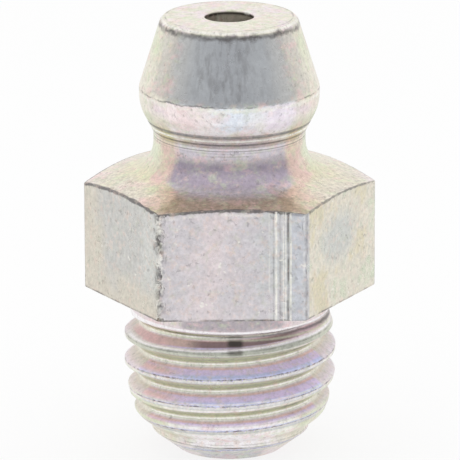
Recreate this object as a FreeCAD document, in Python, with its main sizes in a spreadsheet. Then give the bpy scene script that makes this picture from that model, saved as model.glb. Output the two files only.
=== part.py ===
import FreeCAD, Part
import math
import os

import Sketcher

# Grease nipple of the straight cone pattern with an M8 x 1 thread, in millimetres.
# It stands upright on its flat tip: +Z points out of the head, and the origin is the
# centre of the tip. Two flats of the hexagon face -Y and +Y, two corners lie on X.

SIZES = {
    # shank that screws in, up to the hexagon's underside
    "shank_length": 5.95,
    "collar_diameter": 7.08,
    "collar_height": 0.5,
    # hexagon with its conical shoulder
    "hex_flats": 9.0,
    "hex_height": 3.8,
    "hex_corner_round": 0.15,
    "shoulder_slope": 15.0,
    "shoulder_fillet": 1.1,
    "neck_diameter": 5.4,
    "neck_length": 1.2,
    "neck_round": 0.5,
    # head that the coupler grips
    "head_diameter": 6.4,
    "head_cone_length": 2.45,
    "head_band_height": 0.75,
    "head_underside_slope": 27.0,
    "head_underside_round": 2.0,
    "head_edge_round": 0.15,
    "face_diameter": 4.9,
    "face_edge_break": 0.13,
    # rolled thread and crimped tip
    "thread_pitch": 1.0,
    "crest_diameter": 7.6,
    "crest_width": 0.1,
    "crest_bevel": 0.1,
    "thread_depth": 0.48,
    "root_width": 0.27,
    "thread_turns": 5.0,
    "thread_start": 0.22,
    "thread_runout": 0.85,
    "lead_diameter": 7.04,
    "lead_height": 1.4,
    "full_thread_height": 2.9,
    "tip_diameter": 5.64,
    "tip_height": 0.9,
    "tip_bevel_height": 0.72,
    "tip_face_diameter": 3.8,
    # grease channel
    "inlet_diameter": 1.75,
    "inlet_length": 0.6,
    "seat_slope": 45.0,
    "guide_diameter": 3.0,
    "lip_diameter": 1.9,
    "lip_height": 0.5,
    # check valve
    "ball_diameter": 2.5,
    "ball_clearance": 0.03,
    "spring_diameter": 2.4,
    "spring_wire": 0.3,
    "spring_turns": 7.0,
    "spring_end_gap": 0.02,
}

# Stock and cuts that only have to reach past the hexagon do so by this factor
MARGIN = 1.1

COS_30 = "cos(30 deg)"

# Formulas over the sheet, each used by more than one feature
HEX_TOP = "(dim.shank_length + dim.hex_height)"
CORNER_RADIUS = f"(dim.hex_flats / 2 / {COS_30})"
BLANK_RADIUS = f"({CORNER_RADIUS} * {MARGIN})"
SHOULDER_RISE = "tan(dim.shoulder_slope * 1 deg)"
NECK_FOOT = f"({HEX_TOP} + ({CORNER_RADIUS} - dim.neck_diameter / 2) * {SHOULDER_RISE})"
NECK_TOP = f"({NECK_FOOT} + dim.neck_length)"
UNDERCUT = "((dim.head_diameter - dim.neck_diameter) / 2)"
BAND_BOTTOM = f"({NECK_TOP} + {UNDERCUT} / tan(dim.head_underside_slope * 1 deg))"
BAND_TOP = f"({BAND_BOTTOM} + dim.head_band_height)"
TOTAL_HEIGHT = f"({BAND_TOP} + dim.head_cone_length)"
SEAT_EDGE = f"({TOTAL_HEIGHT} - dim.inlet_length)"
ROOT_RADIUS = "(dim.crest_diameter / 2 - dim.thread_depth)"
SEAT_APEX = f"({SEAT_EDGE} + dim.inlet_diameter / 2 / tan(dim.seat_slope * 1 deg))"
BALL_REACH = "(dim.ball_diameter / 2 + dim.ball_clearance)"
BALL_CENTRE = f"({SEAT_APEX} - {BALL_REACH} / sin(dim.seat_slope * 1 deg))"
COIL_RADIUS = "((dim.spring_diameter - dim.spring_wire) / 2)"
COIL_DROP = f"sqrt(({BALL_REACH} + dim.spring_wire / 2)^2 - {COIL_RADIUS}^2)"
SPRING_LENGTH = f"({BALL_CENTRE} - {COIL_DROP} - dim.lip_height)"
END_COIL_RISE = "(dim.spring_wire + dim.spring_end_gap)"

doc = FreeCAD.newDocument("grease_nipple")


def make_sheet():
    """The driving dimensions, one aliased cell each."""
    sheet = doc.addObject("Spreadsheet::Sheet", "dim")
    for row, (name, value) in enumerate(SIZES.items(), start=1):
        sheet.set(f"A{row}", name)
        sheet.set(f"B{row}", str(value))
        sheet.setAlias(f"B{row}", name)
    doc.recompute()
    return sheet


def number(formula):
    """The present value of a formula over the sheet."""
    value = sheet.evalExpression(formula.replace("dim.", ""))
    return float(getattr(value, "Value", value))


def origin_plane(body, role):
    """One of the body's own origin planes."""
    for feature in body.Origin.OriginFeatures:
        if feature.Role == role:
            return feature
    raise ValueError(f"no plane {role} in {body.Label}")


def new_sketch(body, name, role):
    """An empty sketch on one of the body's origin planes."""
    sketch = body.newObject("Sketcher::SketchObject", name)
    sketch.AttachmentSupport = [(origin_plane(body, role), "")]
    sketch.MapMode = "FlatFace"
    return sketch


def bind(sketch, kind, elements, formula):
    """Adds a driving dimension whose value follows a formula over the sheet."""
    index = sketch.addConstraint(Sketcher.Constraint(kind, *elements, number(formula)))
    sketch.setExpression(f"Constraints[{index}]", formula)


def pin_point(sketch, geometry, position, x_formula, y_formula):
    """Holds a point at the two formulas; a plain 0 puts it on the axis."""
    if x_formula == "0":
        sketch.addConstraint(Sketcher.Constraint("PointOnObject", geometry, position, -2))
    else:
        bind(sketch, "DistanceX", (-1, 1, geometry, position), x_formula)
    if y_formula == "0":
        sketch.addConstraint(Sketcher.Constraint("PointOnObject", geometry, position, -1))
    else:
        bind(sketch, "DistanceY", (-1, 1, geometry, position), y_formula)


def corner_arc(before, corner, after, radius):
    """Where an arc of this radius touches the two sides of a corner, and its centre."""
    back = (before - corner).normalize()
    ahead = (after - corner).normalize()
    half_angle = back.getAngle(ahead) / 2
    reach = radius / math.tan(half_angle)
    middle = (back + ahead).normalize()
    centre = corner + middle * (radius / math.sin(half_angle))
    return corner + back * reach, corner + ahead * reach, centre


def add_round(sketch, index, count, corner, touch, radius_formula):
    """Rounds one corner of an outline; the sharp corner stays as a pinned point."""
    start, end, centre = touch
    radius = number(radius_formula)
    clockwise = (start - centre).cross(end - centre).z < 0
    first, last = (end, start) if clockwise else (start, end)
    angles = [math.atan2(p.y - centre.y, p.x - centre.x) for p in (first, last)]
    if angles[1] < angles[0]:
        angles[1] += 2 * math.pi
    circle = Part.Circle(centre, FreeCAD.Vector(0, 0, 1), radius)
    arc = sketch.addGeometry(Part.ArcOfCircle(circle, *angles))
    point = sketch.addGeometry(Part.Point(corner))
    incoming = (index - 1) % count
    joins = ((incoming, 2, 2 if clockwise else 1), (index, 1, 1 if clockwise else 2))
    for line, line_end, arc_end in joins:
        sketch.addConstraint(Sketcher.Constraint("Tangent", line, line_end, arc, arc_end))
        sketch.addConstraint(Sketcher.Constraint("PointOnObject", point, 1, line))
    bind(sketch, "Radius", (arc,), radius_formula)
    return point


def outline_sketch(body, name, corners, role="YZ_Plane"):
    """A closed half section in a plane that holds Z.

    Each corner is (radius, height) or (radius, height, rounding), all as formulas.
    """
    sketch = new_sketch(body, name, role)
    count = len(corners)
    points = [FreeCAD.Vector(number(c[0]), number(c[1]), 0) for c in corners]
    touches = []
    for i, corner in enumerate(corners):
        touch = (points[i], points[i], None)
        if len(corner) == 3:
            after = points[(i + 1) % count]
            touch = corner_arc(points[i - 1], points[i], after, number(corner[2]))
        touches.append(touch)
    for i in range(count):
        sketch.addGeometry(Part.LineSegment(touches[i][1], touches[(i + 1) % count][0]))
    for i, corner in enumerate(corners):
        if len(corner) == 3:
            point = add_round(sketch, i, count, points[i], touches[i], corner[2])
            pin_point(sketch, point, 1, corner[0], corner[1])
        else:
            sketch.addConstraint(Sketcher.Constraint("Coincident", (i - 1) % count, 2, i, 1))
            pin_point(sketch, i, 1, corner[0], corner[1])
    return sketch


def draw_hexagon(sketch, flats, centre=("0", "0")):
    """A hexagon about a point, with two level sides, from its size across the flats."""
    corner_radius = f"{flats} / 2 / {COS_30}"
    reach = number(corner_radius)
    middle = FreeCAD.Vector(number(centre[0]), number(centre[1]), 0)
    corners = []
    for i in range(6):
        angle = math.radians(60 * i)
        corners.append(middle + FreeCAD.Vector(math.cos(angle), math.sin(angle), 0) * reach)
    for start, end in zip(corners, corners[1:] + corners[:1]):
        sketch.addGeometry(Part.LineSegment(start, end))
    guide = sketch.addGeometry(Part.Circle(middle, FreeCAD.Vector(0, 0, 1), reach), True)
    for i in range(6):
        sketch.addConstraint(Sketcher.Constraint("Coincident", i, 2, (i + 1) % 6, 1))
        sketch.addConstraint(Sketcher.Constraint("PointOnObject", i, 1, guide))
        if i:
            sketch.addConstraint(Sketcher.Constraint("Equal", 0, i))
    sketch.addConstraint(Sketcher.Constraint("Horizontal", 1))
    bind(sketch, "Radius", (guide,), corner_radius)
    pin_point(sketch, guide, 3, *centre)


def turn(body, kind, name, sketch):
    """A full turn of a half section about the Z axis."""
    feature = body.newObject(f"PartDesign::{kind}", name)
    feature.Profile = sketch
    feature.ReferenceAxis = (sketch, ["V_Axis"])
    feature.Angle = 360
    doc.recompute()
    return feature


def round_edges(body, name, base, edges, radius_formula):
    """A fillet whose radius follows the sheet."""
    fillet = body.newObject("PartDesign::Fillet", name)
    fillet.Base = (base, edges)
    fillet.setExpression("Radius", radius_formula)
    doc.recompute()
    return fillet


def upright_edges_at(feature, radius):
    """Names of the straight vertical edges at this distance from Z."""
    found = []
    for i, edge in enumerate(feature.Shape.Edges, start=1):
        first, last = edge.Vertexes[0].Point, edge.Vertexes[-1].Point
        level = math.hypot(first.x - last.x, first.y - last.y)
        reach = abs(math.hypot(first.x, first.y) - radius)
        if isinstance(edge.Curve, Part.Line) and level < 1e-6 and reach < 1e-5:
            found.append(f"Edge{i}")
    return found


def add_blank(body):
    """The turned blank: tip, shank, round stock for the hexagon, neck and head."""
    neck = "dim.neck_diameter / 2"
    head = "dim.head_diameter / 2"
    face = "dim.face_diameter / 2"
    crest = "dim.crest_diameter / 2"
    collar = "dim.collar_diameter / 2"
    collar_foot = "dim.shank_length - dim.collar_height"
    stock_top = f"{HEX_TOP} + ({CORNER_RADIUS} - {BLANK_RADIUS}) * {SHOULDER_RISE}"
    sketch = outline_sketch(body, "blank_section", [
        ("0", "0"),
        ("dim.tip_face_diameter / 2", "0"),
        ("dim.tip_diameter / 2", "dim.tip_bevel_height"),
        ("dim.tip_diameter / 2", "dim.tip_height"),
        ("dim.lead_diameter / 2", "dim.lead_height"),
        (crest, "dim.full_thread_height"),
        (crest, f"{collar_foot} - dim.thread_runout"),
        (collar, collar_foot),
        (collar, "dim.shank_length"),
        (BLANK_RADIUS, "dim.shank_length"),
        (BLANK_RADIUS, stock_top),
        (neck, NECK_FOOT, "dim.shoulder_fillet"),
        (neck, NECK_TOP, "dim.neck_round"),
        (head, BAND_BOTTOM, "dim.head_underside_round"),
        (head, BAND_TOP, "dim.head_edge_round"),
        (face, f"{TOTAL_HEIGHT} - dim.face_edge_break"),
        (f"{face} - dim.face_edge_break", TOTAL_HEIGHT),
        ("0", TOTAL_HEIGHT),
    ])
    return turn(body, "Revolution", "blank", sketch)


def add_hexagon(body, base):
    """Cuts the round stock down to the hexagon and rounds its six upright edges."""
    sketch = new_sketch(body, "hexagon_outline", "XY_Plane")
    sketch.setExpression("AttachmentOffset.Base.z", "dim.shank_length")
    draw_hexagon(sketch, "dim.hex_flats")
    outside = f"{BLANK_RADIUS} * {MARGIN}"
    stock_circle = Part.Circle(FreeCAD.Vector(), FreeCAD.Vector(0, 0, 1), number(outside))
    stock = sketch.addGeometry(stock_circle)
    sketch.addConstraint(Sketcher.Constraint("Coincident", stock, 3, -1, 1))
    bind(sketch, "Radius", (stock,), outside)

    pocket = body.newObject("PartDesign::Pocket", "hexagon")
    pocket.Profile = sketch
    pocket.Reversed = True
    pocket.setExpression("Length", f"dim.hex_height + {CORNER_RADIUS} * {SHOULDER_RISE}")
    doc.recompute()
    if pocket.Shape.Volume > 0.99 * base.Shape.Volume:
        raise RuntimeError("the hexagon cut missed the stock")
    edges = upright_edges_at(pocket, number(CORNER_RADIUS))
    return round_edges(body, "hexagon_edges", pocket, edges, "dim.hex_corner_round")


def make_thread_path():
    """The helix that the thread rolls follow, one segment per turn."""
    path = doc.addObject("Part::Helix", "thread_path")
    path.setExpression("Pitch", "dim.thread_pitch")
    path.setExpression("Height", "dim.thread_pitch * dim.thread_turns")
    path.setExpression("Radius", ROOT_RADIUS)
    path.setExpression("Placement.Base.z", "dim.thread_start")
    path.SegmentLength = 1
    doc.recompute()
    return path


def add_thread(body, base):
    """The rolled right-hand thread: one helical groove that leaves bevelled crests."""
    crest = "dim.crest_diameter / 2"
    flank = f"({crest} - dim.crest_bevel)"
    floor = "dim.root_width / 2"
    mouth = "(dim.thread_pitch - dim.crest_width) / 2"
    shoulder = f"({mouth} - dim.crest_bevel)"
    # the cut passes the crest by a quarter of its width, at the slope of the bevel
    past = "dim.crest_width / 4"
    half = [(ROOT_RADIUS, floor), (flank, shoulder), (f"{crest} + {past}", f"({mouth} + {past})")]
    upper = [(x, f"dim.thread_start + {y}") for x, y in half]
    lower = [(x, f"dim.thread_start - {y}") for x, y in half]
    sketch = outline_sketch(body, "thread_groove_section", lower + upper[::-1], "XZ_Plane")
    path = body.newObject("PartDesign::SubShapeBinder", "thread_path_binder")
    path.Support = [(make_thread_path(), "")]
    doc.recompute()
    groove = body.newObject("PartDesign::SubtractivePipe", "thread_groove")
    groove.Profile = sketch
    groove.Spine = (path, [])
    groove.Mode = "Frenet"
    doc.recompute()
    if groove.Shape.Volume > 0.99 * base.Shape.Volume:
        raise RuntimeError("the thread groove missed the shank")
    return groove


def add_channel(body, base):
    """The grease channel: inlet, ball seat, guide bore and the crimped lip at the tip."""
    inlet = "dim.inlet_diameter / 2"
    guide = "dim.guide_diameter / 2"
    lip = "dim.lip_diameter / 2"
    seat_foot = f"{SEAT_EDGE} - ({guide} - {inlet}) / tan(dim.seat_slope * 1 deg)"
    sketch = outline_sketch(body, "channel_section", [
        ("0", "0"),
        (lip, "0"),
        (lip, "dim.lip_height"),
        (guide, "dim.lip_height"),
        (guide, seat_foot),
        (inlet, SEAT_EDGE),
        (inlet, TOTAL_HEIGHT),
        ("0", TOTAL_HEIGHT),
    ])
    channel = turn(body, "Groove", "channel", sketch)
    if channel.Shape.Volume > 0.98 * base.Shape.Volume:
        raise RuntimeError("the grease channel missed the body")
    return channel


def make_nipple_body():
    """The body, one piece of turned hexagon bar with a rolled thread."""
    body = doc.addObject("PartDesign::Body", "nipple_body")
    blank = add_blank(body)
    threaded = add_thread(body, blank)
    bored = add_channel(body, threaded)
    body.Tip = add_hexagon(body, bored)
    return body


def make_check_ball():
    """The steel ball that closes the inlet from inside."""
    ball = doc.addObject("Part::Sphere", "check_ball")
    ball.setExpression("Radius", "dim.ball_diameter / 2")
    ball.setExpression("Placement.Base.z", BALL_CENTRE)
    return ball


def add_coil(body, name, start, rise, turns):
    """Wire wound from one height of the spring to the next.

    The round wire is drawn with six flats, which keeps the model light.
    """
    sketch = new_sketch(body, f"{name}_section", "XZ_Plane")
    draw_hexagon(sketch, "dim.spring_wire", (COIL_RADIUS, start))
    coil = body.newObject("PartDesign::AdditiveHelix", name)
    coil.Profile = sketch
    coil.ReferenceAxis = (sketch, ["V_Axis"])
    coil.Mode = 2
    coil.setExpression("Height", rise)
    coil.setExpression("Turns", turns)
    coil.Angle = 0
    doc.recompute()
    return coil


def grind_end(body, name, inner, outer):
    """Grinds one end of the spring flat between two heights."""
    reach = "dim.spring_diameter"
    sketch = outline_sketch(body, f"{name}_section", [
        ("0", inner), (reach, inner), (reach, outer), ("0", outer),
    ])
    return turn(body, "Groove", name, sketch)


def make_valve_spring():
    """The spring under the ball: one close coil at each ground end, open coils between."""
    body = doc.addObject("PartDesign::Body", "valve_spring")
    body.setExpression("Placement.Base.z", "dim.lip_height")
    last = f"{SPRING_LENGTH} - {END_COIL_RISE}"
    add_coil(body, "lower_end_coil", "0", END_COIL_RISE, "1")
    add_coil(body, "open_coils", END_COIL_RISE, f"{last} - {END_COIL_RISE}", "dim.spring_turns")
    add_coil(body, "upper_end_coil", last, END_COIL_RISE, "1")
    grind_end(body, "lower_ground_end", "0", "0 - dim.spring_wire")
    body.Tip = grind_end(
        body, "upper_ground_end", SPRING_LENGTH, f"{SPRING_LENGTH} + dim.spring_wire"
    )
    return body


def export(parts):
    """Checks every object of the document, then writes one STEP file per sub-part."""
    doc.recompute()
    for item in doc.Objects:
        if "Invalid" in item.State or "Error" in item.State:
            raise RuntimeError(f"{item.Label} failed: {item.State}")
    for part in parts:
        shape = part.Shape
        if shape.isNull() or not shape.isValid() or len(shape.Solids) != 1:
            raise RuntimeError(f"{part.Label} is not one valid solid")
    os.makedirs("parts", exist_ok=True)
    for part in parts:
        part.Shape.exportStep(f"parts/{part.Label}.step")
        centre = part.Shape.Solids[0].CenterOfMass
        print(part.Label, "volume", round(part.Shape.Volume, 3), "centre height", round(centre.z, 3))


sheet = make_sheet()
export([make_nipple_body(), make_check_ball(), make_valve_spring()])
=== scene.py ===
# %% [markdown]
# # A grease nipple, from turned blank to plated part
#
# A grease nipple is a small one-way valve that screws into a bearing housing. The body is one piece of
# hexagon steel: it is turned, its thread is rolled, and it is plated with zinc. A thin film left by the
# plating bath gives the pink, lilac, blue and yellow-green tints. Inside sit a steel ball and a spring.
#
# The lesson makes the looks around a fixed frame. The frame holds the sizes and the moving bodies, so the
# first cell loads it and keeps its box, and every later piece is built to fit inside that box.

# %% The frame
import math

import bmesh
import bpy
import numpy as np
from mathutils import Matrix, Vector


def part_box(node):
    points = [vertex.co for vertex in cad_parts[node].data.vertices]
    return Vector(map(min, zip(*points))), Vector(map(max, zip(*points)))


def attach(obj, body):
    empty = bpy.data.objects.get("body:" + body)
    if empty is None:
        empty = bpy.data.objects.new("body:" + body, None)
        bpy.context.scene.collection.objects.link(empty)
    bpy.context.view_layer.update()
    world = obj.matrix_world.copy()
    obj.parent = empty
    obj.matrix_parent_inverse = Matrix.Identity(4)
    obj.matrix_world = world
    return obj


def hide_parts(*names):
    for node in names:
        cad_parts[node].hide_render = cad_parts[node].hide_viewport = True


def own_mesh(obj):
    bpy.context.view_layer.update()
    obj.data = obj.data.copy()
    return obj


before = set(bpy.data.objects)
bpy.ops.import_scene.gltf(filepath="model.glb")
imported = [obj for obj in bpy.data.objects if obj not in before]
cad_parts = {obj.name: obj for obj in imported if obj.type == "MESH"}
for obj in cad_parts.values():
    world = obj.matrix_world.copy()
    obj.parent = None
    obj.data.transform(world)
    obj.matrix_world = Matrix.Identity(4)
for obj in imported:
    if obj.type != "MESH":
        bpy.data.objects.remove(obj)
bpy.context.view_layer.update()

# %% [markdown]
# ## Units and a few directions
#
# The scene is in metres, but the nipple is drawn in millimetres, because its sizes are easier to read that
# way. One factor turns a millimetre into a scene length. The nipple stands on its tip: Z runs up its axis,
# and the side that faces the camera is -Y, which is 270 degrees on a compass that starts at +X.

# %% Units
MM = 0.001
FULL_TURN = 2 * math.pi
FRONT = math.radians(270)

low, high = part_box("nipple_body")
TOTAL_HEIGHT = high.z / MM
print("height of the body", round(TOTAL_HEIGHT, 3), "mm")

# %% [markdown]
# ## The camera
#
# A catalogue photo of a small part is taken from far away with a long lens, so its upright edges stay
# parallel. The camera is placed first, because everything else is judged through it. It looks down a little,
# from just left of the front, and it leans by a fraction of a degree.

# %% The camera
IMAGE_SIZE = 460
SENSOR_WIDTH = 36.0
FOCAL_PIXELS = 5612.0
CAMERA_DISTANCE = 200 * MM
CAMERA_ELEVATION = math.radians(15.78)
CAMERA_AZIMUTH = math.radians(-1.0)
CAMERA_ROLL = math.radians(-0.15)
AIM = Vector((0, 0, 8 * MM))
CENTRE_OFFSET = (0.26, -1.1)


def add_camera():
    """A long lens that looks at the middle of the nipple."""
    data = bpy.data.cameras.new("camera")
    data.sensor_width = SENSOR_WIDTH
    data.lens = SENSOR_WIDTH * FOCAL_PIXELS / IMAGE_SIZE
    data.shift_x = CENTRE_OFFSET[0] / IMAGE_SIZE
    data.shift_y = CENTRE_OFFSET[1] / IMAGE_SIZE
    data.clip_start = 0.01
    camera = bpy.data.objects.new("camera", data)
    level = math.cos(CAMERA_ELEVATION)
    back = Vector((
        math.sin(CAMERA_AZIMUTH) * level,
        -math.cos(CAMERA_AZIMUTH) * level,
        math.sin(CAMERA_ELEVATION),
    ))
    turn = (-back).to_track_quat("-Z", "Y").to_matrix().to_4x4()
    roll = Matrix.Rotation(CAMERA_ROLL, 4, "Z")
    camera.matrix_world = Matrix.Translation(AIM + back * CAMERA_DISTANCE) @ turn @ roll
    bpy.context.scene.collection.objects.link(camera)
    bpy.context.scene.camera = camera
    return camera


camera = add_camera()
print("lens", round(camera.data.lens, 1), "mm at", round(CAMERA_DISTANCE / MM), "mm")

# %% [markdown]
# ## Fields: sums that become nodes
#
# Node trees do arithmetic one node at a time, which makes long formulas hard to read. The small class below
# wraps a socket so that plus, minus and times make the Math nodes. It works for Geometry Nodes and for
# shaders alike, because both use the same Math, Map Range and Noise nodes.

# %% Fields
class Field:
    """A socket that holds one number per point. Arithmetic with it adds Math nodes to its tree."""

    def __init__(self, tree, socket):
        self.tree = tree
        self.socket = socket

    def math(self, operation, *others):
        """The result of a Math node."""
        node = self.tree.nodes.new("ShaderNodeMath")
        node.operation = operation
        for slot, value in zip(node.inputs, (self, *others)):
            plug(self.tree, value, slot)
        return Field(self.tree, node.outputs[0])

    def __add__(self, other):
        return self.math("ADD", other)

    def __sub__(self, other):
        return self.math("SUBTRACT", other)

    def __mul__(self, other):
        return self.math("MULTIPLY", other)

    def __truediv__(self, other):
        return self.math("DIVIDE", other)

    def __rsub__(self, other):
        return self.math("MULTIPLY", -1.0) + other

    __radd__ = __add__
    __rmul__ = __mul__

    def ramp(self, start, end):
        """0 at the start value and 1 at the end value, with a soft step between."""
        node = self.tree.nodes.new("ShaderNodeMapRange")
        node.interpolation_type = "SMOOTHSTEP"
        for slot, value in zip(node.inputs, (self, start, end)):
            plug(self.tree, value, slot)
        return Field(self.tree, node.outputs["Result"])

    def bump(self, centre, width):
        """1 at the centre value, falling softly to 0 at the width on either side."""
        return (self - centre).math("ABSOLUTE").ramp(width, 0.0)


def plug(tree, value, slot):
    """Puts a field, a socket or a plain value into an input."""
    if isinstance(value, Field):
        tree.links.new(value.socket, slot)
    elif isinstance(value, bpy.types.NodeSocket):
        tree.links.new(value, slot)
    else:
        slot.default_value = value


print("fields can add, subtract, multiply, divide, ramp and bump")

# %% [markdown]
# ## Adding nodes in one line
#
# Four more helpers keep the trees short: one adds any node with its settings and inputs, two join and split
# vectors, and one gives soft random values. Noise is what keeps a surface from looking computed.

# %% Node helpers
def add_node(tree, kind, settings=(), **inputs):
    """Adds a node; settings are its own options, and inputs are plugged in by name."""
    node = tree.nodes.new(kind)
    for name, value in dict(settings).items():
        setattr(node, name, value)
    for name, value in inputs.items():
        plug(tree, value, node.inputs[name.replace("_", " ")])
    return node


def combine(tree, x, y, z):
    """A vector socket from three fields or numbers."""
    return add_node(tree, "ShaderNodeCombineXYZ", X=x, Y=y, Z=z).outputs[0]


def split(tree, vector):
    """The three parts of a vector as fields."""
    node = add_node(tree, "ShaderNodeSeparateXYZ", Vector=vector)
    return [Field(tree, node.outputs[axis]) for axis in "XYZ"]


def noise(tree, vector, scale, detail=2.0, roughness=0.5):
    """Soft random values between 0 and 1."""
    node = add_node(
        tree, "ShaderNodeTexNoise", Vector=vector, Scale=scale, Detail=detail, Roughness=roughness
    )
    return Field(tree, node.outputs[0])


print("node helpers ready")

# %% [markdown]
# ## Recipes: Geometry Nodes with named sizes
#
# A recipe is a Geometry Nodes tree whose inputs are the sizes of one workshop step. The modifier's inputs
# are set by each socket's identifier, because a name can be used twice and an identifier can't. Each tree
# ends in Realize Instances and Set Material, and afterwards the result is stored as a plain mesh.

# %% Recipes
class Recipe:
    """A Geometry Nodes tree under construction."""

    def __init__(self, name, sizes):
        self.tree = bpy.data.node_groups.new(name, "GeometryNodeTree")
        self.sizes = dict(sizes)
        for way in ("INPUT", "OUTPUT"):
            self.tree.interface.new_socket("Geometry", in_out=way, socket_type="NodeSocketGeometry")
        for size, value in self.sizes.items():
            socket = self.tree.interface.new_socket(size, in_out="INPUT", socket_type="NodeSocketFloat")
            socket.default_value = value
        self.source = self.tree.nodes.new("NodeGroupInput")
        self.geometry = self.source.outputs["Geometry"]

    def size(self, name):
        """One of the recipe's named sizes."""
        return Field(self.tree, self.source.outputs[name])

    def node(self, kind, settings=(), **inputs):
        """Adds a node to the recipe's tree."""
        return add_node(self.tree, kind, settings, **inputs)

    def attribute(self, name):
        """Reads a number stored on the points."""
        node = self.node("GeometryNodeInputNamedAttribute", {"data_type": "FLOAT"}, Name=name)
        return Field(self.tree, node.outputs["Attribute"])

    def store(self, name, value):
        """Writes a number on the points, for a later step or for the finish."""
        node = self.node(
            "GeometryNodeStoreNamedAttribute", {"data_type": "FLOAT", "domain": "POINT"},
            Geometry=self.geometry, Name=name, Value=value,
        )
        self.geometry = node.outputs["Geometry"]

    def place(self, vector):
        """Moves each point to a new position."""
        node = self.node("GeometryNodeSetPosition", Geometry=self.geometry, Position=vector)
        self.geometry = node.outputs["Geometry"]

    def polar(self):
        """Each point's distance from the axis, its compass angle and its height, in mm and radians."""
        position = self.node("GeometryNodeInputPosition").outputs[0]
        x, y, z = split(self.tree, position)
        radius = (x * x + y * y).math("SQRT") / MM
        angle = y.math("ARCTAN2", x).math("FLOORED_MODULO", FULL_TURN)
        return radius, angle, z / MM

    def place_polar(self, radius, angle, height):
        """Moves each point to a new radius, angle and height."""
        x = radius * angle.math("COSINE") * MM
        y = radius * angle.math("SINE") * MM
        self.place(combine(self.tree, x, y, height * MM))

    def finish(self, material):
        """Ends the tree in Realize Instances and Set Material. Ends the tree as the
        export needs it.
        """
        solid = self.node("GeometryNodeRealizeInstances", Geometry=self.geometry)
        painted = self.node("GeometryNodeSetMaterial", Geometry=solid.outputs[0], Material=material)
        sink = self.tree.nodes.new("NodeGroupOutput")
        plug(self.tree, painted.outputs[0], sink.inputs["Geometry"])

    def apply(self, piece):
        """Runs the recipe on a piece and keeps the result as a plain mesh."""
        modifier = piece.modifiers.new(self.tree.name, "NODES")
        modifier.node_group = self.tree
        for item in self.tree.interface.items_tree:
            if item.in_out == "INPUT" and item.name in self.sizes:
                modifier[item.identifier] = self.sizes[item.name]
        graph = bpy.context.evaluated_depsgraph_get()
        mesh = bpy.data.meshes.new_from_object(piece.evaluated_get(graph))
        piece.modifiers.clear()
        piece.data = mesh
        print(self.tree.name, "gave", len(mesh.vertices), "points")


print("recipe helper ready")

# %% [markdown]
# ## New pieces
#
# A finished piece sits at the origin, unturned and unscaled, and its place is in its mesh, in the same frame
# as the sizes. Then nothing has to be fitted, and a pattern in object space stays where it was painted.

# %% New pieces
def new_piece(name, mesh):
    """A piece of the nipple, linked to the scene."""
    piece = bpy.data.objects.new(name, mesh)
    bpy.context.scene.collection.objects.link(piece)
    return piece


# %% [markdown]
# ## Sizes of the body
#
# These are the lengths that a drawing of the nipple would give, in millimetres: the hexagon, the neck, the
# head with its cone and band, the collar, the thread's crest, the tip and the bores. Heights are measured up
# from the tip's face, and those of the head hang from the total height, which comes from the frame.

# %% Sizes of the body
HEX_FLATS = 9.0
HEX_BOTTOM = 5.9
HEX_TOP = 9.75
SHOULDER_SLOPE = math.radians(15)
CORNER_RADIUS = HEX_FLATS / 2 / math.cos(math.radians(30))
NECK_RADIUS = 2.7
NECK_FOOT = HEX_TOP + (CORNER_RADIUS - NECK_RADIUS) * math.tan(SHOULDER_SLOPE)
HEAD_RADIUS = 3.2
BAND_TOP = TOTAL_HEIGHT - 2.5
BAND_BOTTOM = BAND_TOP - 0.64
UNDERSIDE_SLOPE = math.radians(27)
FACE_RADIUS = 2.45
EDGE_BREAK = 0.13
INLET_RADIUS = 0.875
COLLAR_RADIUS = 3.54
COLLAR_FOOT = 5.45
CREST_RADIUS = 3.8
TIP_TOP = 0.9
BORE_RADIUS = 1.5
LIP_RADIUS = 0.95
LIP_HEIGHT = 0.5
SEAT_EDGE = TOTAL_HEIGHT - 0.6
print("corner radius", round(CORNER_RADIUS, 3), "mm, foot of the neck at", round(NECK_FOOT, 3), "mm")

# %% [markdown]
# ## Corners of the outline
#
# On the lathe the body is one outline turned about the axis. It starts at the mouth of the inlet, goes over
# the head, down the neck, out over the shoulder to the corners of the hexagon, back in to the shank, round
# the tip, and up the inside to the ball's seat. Each corner has a rounding, because a real edge always has
# one, and the rounding is what catches the light. Corners are (radius, height, rounding, spacing of the
# points that follow), in millimetres.

# %% Corners of the outline
def underside(depth):
    """A point on the head's sloped underside, this far below the band."""
    return HEAD_RADIUS - depth * math.tan(UNDERSIDE_SLOPE), BAND_BOTTOM - depth


def groove_below_head(depth, cut, width):
    """Three corners of a fine groove that the turning tool left under the head."""
    upper = underside(depth)
    middle = underside(depth + width / 2)
    lower = underside(depth + width)
    return [(*upper, 0.01, 0.03), (middle[0] - cut, middle[1], 0.012, 0.03), (*lower, 0.01, 0.03)]


NECK_TOP_DEPTH = (HEAD_RADIUS - NECK_RADIUS) / math.tan(UNDERSIDE_SLOPE)
OUTER_CORNERS = [
    (INLET_RADIUS, TOTAL_HEIGHT, 0.05, 0.14),
    (FACE_RADIUS - EDGE_BREAK, TOTAL_HEIGHT, 0.05, 0.06),
    (FACE_RADIUS, TOTAL_HEIGHT - EDGE_BREAK, 0.05, 0.1),
    (HEAD_RADIUS, BAND_TOP, 0.5, 0.1),
    (HEAD_RADIUS, BAND_BOTTOM, 1.6, 0.09),
    *groove_below_head(0.48, 0.035, 0.09),
    *groove_below_head(0.66, 0.03, 0.07),
    (NECK_RADIUS, BAND_BOTTOM - NECK_TOP_DEPTH, 0.3, 0.12),
    (NECK_RADIUS, NECK_FOOT, 1.15, 0.14),
    (CORNER_RADIUS, HEX_TOP, 0.06, 0.15),
    (CORNER_RADIUS, HEX_BOTTOM, 0.05, 0.2),
    (COLLAR_RADIUS, HEX_BOTTOM, 0.05, 0.1),
]
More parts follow.
